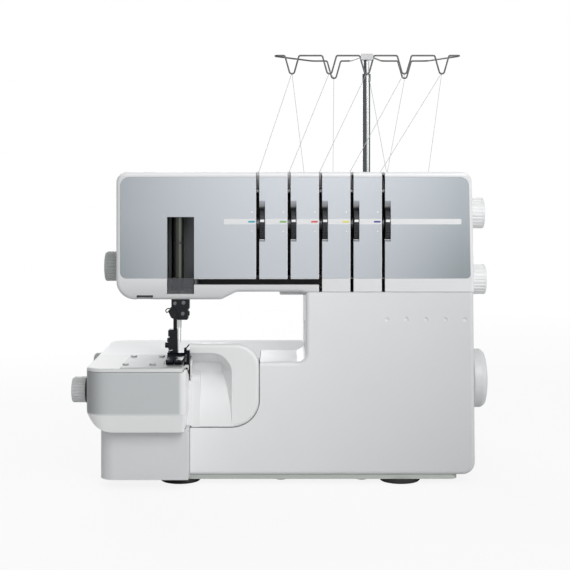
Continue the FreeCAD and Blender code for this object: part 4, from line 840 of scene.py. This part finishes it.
def presser_fittings():
    """Front screw and thread spring on the presser shank."""
    shape = bmesh.new()
    add_screw(shape, (-110.2, FACE_Y + 19.6, 144.4), (0, -1, 0), 2.0, 1.0, 0.6)
    add_piece("presser_screws", shape, BLUED_STEEL, "presser")
    spring = [(-114.8, FACE_Y + 19.0, 130.6), (-113.6, FACE_Y + 18.4, 129.2),
              (-113.8, FACE_Y + 18.2, 127.6), (-111.6, FACE_Y + 18.4, 128.2), (-110.0, FACE_Y + 19.3, 128.8)]
    bent_wire("presser_spring", spring, 0.35, FINISHES["steel"], "presser")


def knife_fittings():
    """Plate and wire on the upper knife, and the pale bracket beside the cloth plate."""
    shape = bmesh.new()
    add_plate(shape, (-97.0, FACE_Y - 2.4, 127.2), (-94.5, FACE_Y + 2.2, 133.8), 0.5)
    add_plate(shape, (-94.7, FACE_Y - 3.2, 129.0), (-92.2, FACE_Y + 0.6, 131.0), 0.4)
    add_rod(shape, (-94.8, FACE_Y - 1.0, 133.4), (-92.0, FACE_Y - 1.0, 136.8), 0.6)
    add_piece("knife_fittings", shape, BLACK_STEEL, "upper_knife")
    bracket = bmesh.new()
    add_plate(bracket, (-95.6, FACE_Y - 13.0, 113.6), (-91.8, FACE_Y - 7.6, 118.2), 0.6)
    add_piece("knife_bracket", bracket, FINISHES["white_plastic"], "machine")
    screw = bmesh.new()
    add_screw(screw, (-93.6, FACE_Y - 13.0, 115.0), (0, -1, 0), 1.2, 0.6, 0.5)
    add_piece("knife_bracket_screw", screw, BLUED_STEEL, "machine")


printed_stripe()
colour_dashes()
dial_marks()
dial_highlight_marks()
threads()
wound_spools()
slot_edge_highlights()
slot_ramps()
slot_pins()
needle_bar_groove_shade()
cutter_blade()
knob_marks()
knob_ring()
stitch_plate_lines()
clamp_fittings()
presser_fittings()
knife_fittings()


# Floor, light and camera
def pale_floor():
    """Pale floor: near white to the eye, with a faint shadow, fading out with distance."""
    finish = Finish("pale_floor", Roughness=0.9)
    finish.colour(rgba(FLOOR_TONE))
    x = finish.axis("X")
    y = finish.axis("Y")
    reach = finish.maths("SQRT", x * x + y * y, 0.0)
    fade = finish.rise(reach, *FLOOR_FADE)
    seen = finish.node("ShaderNodeLightPath", None, None, "Is Camera Ray")
    glow = finish.node("ShaderNodeEmission", None, {"Color": (1.0, 1.0, 1.0, 1.0), "Strength": 1.0})
    lit = Value(finish, finish.shader.outputs[0])
    blend = finish.node("ShaderNodeMixShader", None, {0: FLOOR_GLOW * seen, 1: lit, 2: glow})
    clear = finish.node("ShaderNodeBsdfTransparent")
    faded = finish.node("ShaderNodeMixShader", None, {0: fade, 1: clear, 2: blend})
    finish.feed(finish.tree.nodes["Material Output"].inputs["Surface"], faded)
    shape = bmesh.new()
    bmesh.ops.create_circle(shape, cap_ends=True, segments=96, radius=FLOOR_RADIUS * MM)
    mesh = bpy.data.meshes.new("floor")
    shape.to_mesh(mesh)
    shape.free()
    mesh.materials.append(finish.material)
    floor = bpy.data.objects.new("floor", mesh)
    bpy.context.scene.collection.objects.link(floor)


def white_world(strength):
    """White to the eye and to reflections, softer as light on the object."""
    world = bpy.data.worlds.new("studio")
    bpy.context.scene.world = world
    world.use_nodes = True
    tree = world.node_tree
    backdrop = tree.nodes["Background"]
    path = tree.nodes.new("ShaderNodeLightPath")
    seen = path.outputs["Is Camera Ray"]
    for name in ("Is Glossy Ray", "Is Transmission Ray"):
        either = tree.nodes.new("ShaderNodeMath")
        either.operation = "MAXIMUM"
        tree.links.new(seen, either.inputs[0])
        tree.links.new(path.outputs[name], either.inputs[1])
        seen = either.outputs[0]
    level = tree.nodes.new("ShaderNodeMix")
    tree.links.new(seen, level.inputs[0])
    level.inputs[2].default_value = strength
    level.inputs[3].default_value = 1.0
    tree.links.new(level.outputs[0], backdrop.inputs["Strength"])
    backdrop.inputs["Color"].default_value = (1.0, 1.0, 1.0, 1.0)


def soft_lamp(name, place, target, size, power):
    data = bpy.data.lights.new(name, "AREA")
    data.size = size
    data.energy = power
    lamp = bpy.data.objects.new(name, data)
    lamp.location = place
    aim = Vector(target) - Vector(place)
    lamp.rotation_euler = aim.to_track_quat("-Z", "Y").to_euler()
    bpy.context.scene.collection.objects.link(lamp)


def photo_camera():
    data = bpy.data.cameras.new("photo_camera")
    data.sensor_width = SENSOR
    data.sensor_fit = "HORIZONTAL"
    data.lens = FOCAL_PIXELS / IMAGE_SIZE * SENSOR
    half = IMAGE_SIZE / 2
    data.shift_x = (half - MIDDLE_PIXEL[0]) / IMAGE_SIZE
    data.shift_y = (MIDDLE_PIXEL[1] - half) / IMAGE_SIZE
    camera = bpy.data.objects.new("photo_camera", data)
    camera.location = Vector(CAMERA_PLACE) * MM
    camera.rotation_euler = (math.pi / 2, 0.0, 0.0)
    bpy.context.scene.collection.objects.link(camera)
    bpy.context.scene.camera = camera


pale_floor()
white_world(WORLD_LEVEL)
# Each lamp's place, target and size in metres, and its power in watts
soft_lamp("key", (0.30, -1.15, 0.85), (-0.02, -0.12, 0.16), 0.8, 9.0)
soft_lamp("right", (1.5, -0.5, 0.6), (0.0, -0.05, 0.15), 1.0, 4.5)
soft_lamp("back", (-0.5, 1.3, 0.75), (-0.05, 0.0, 0.12), 1.0, 13.5)
photo_camera()
bpy.context.scene.view_settings.view_transform = "Standard"
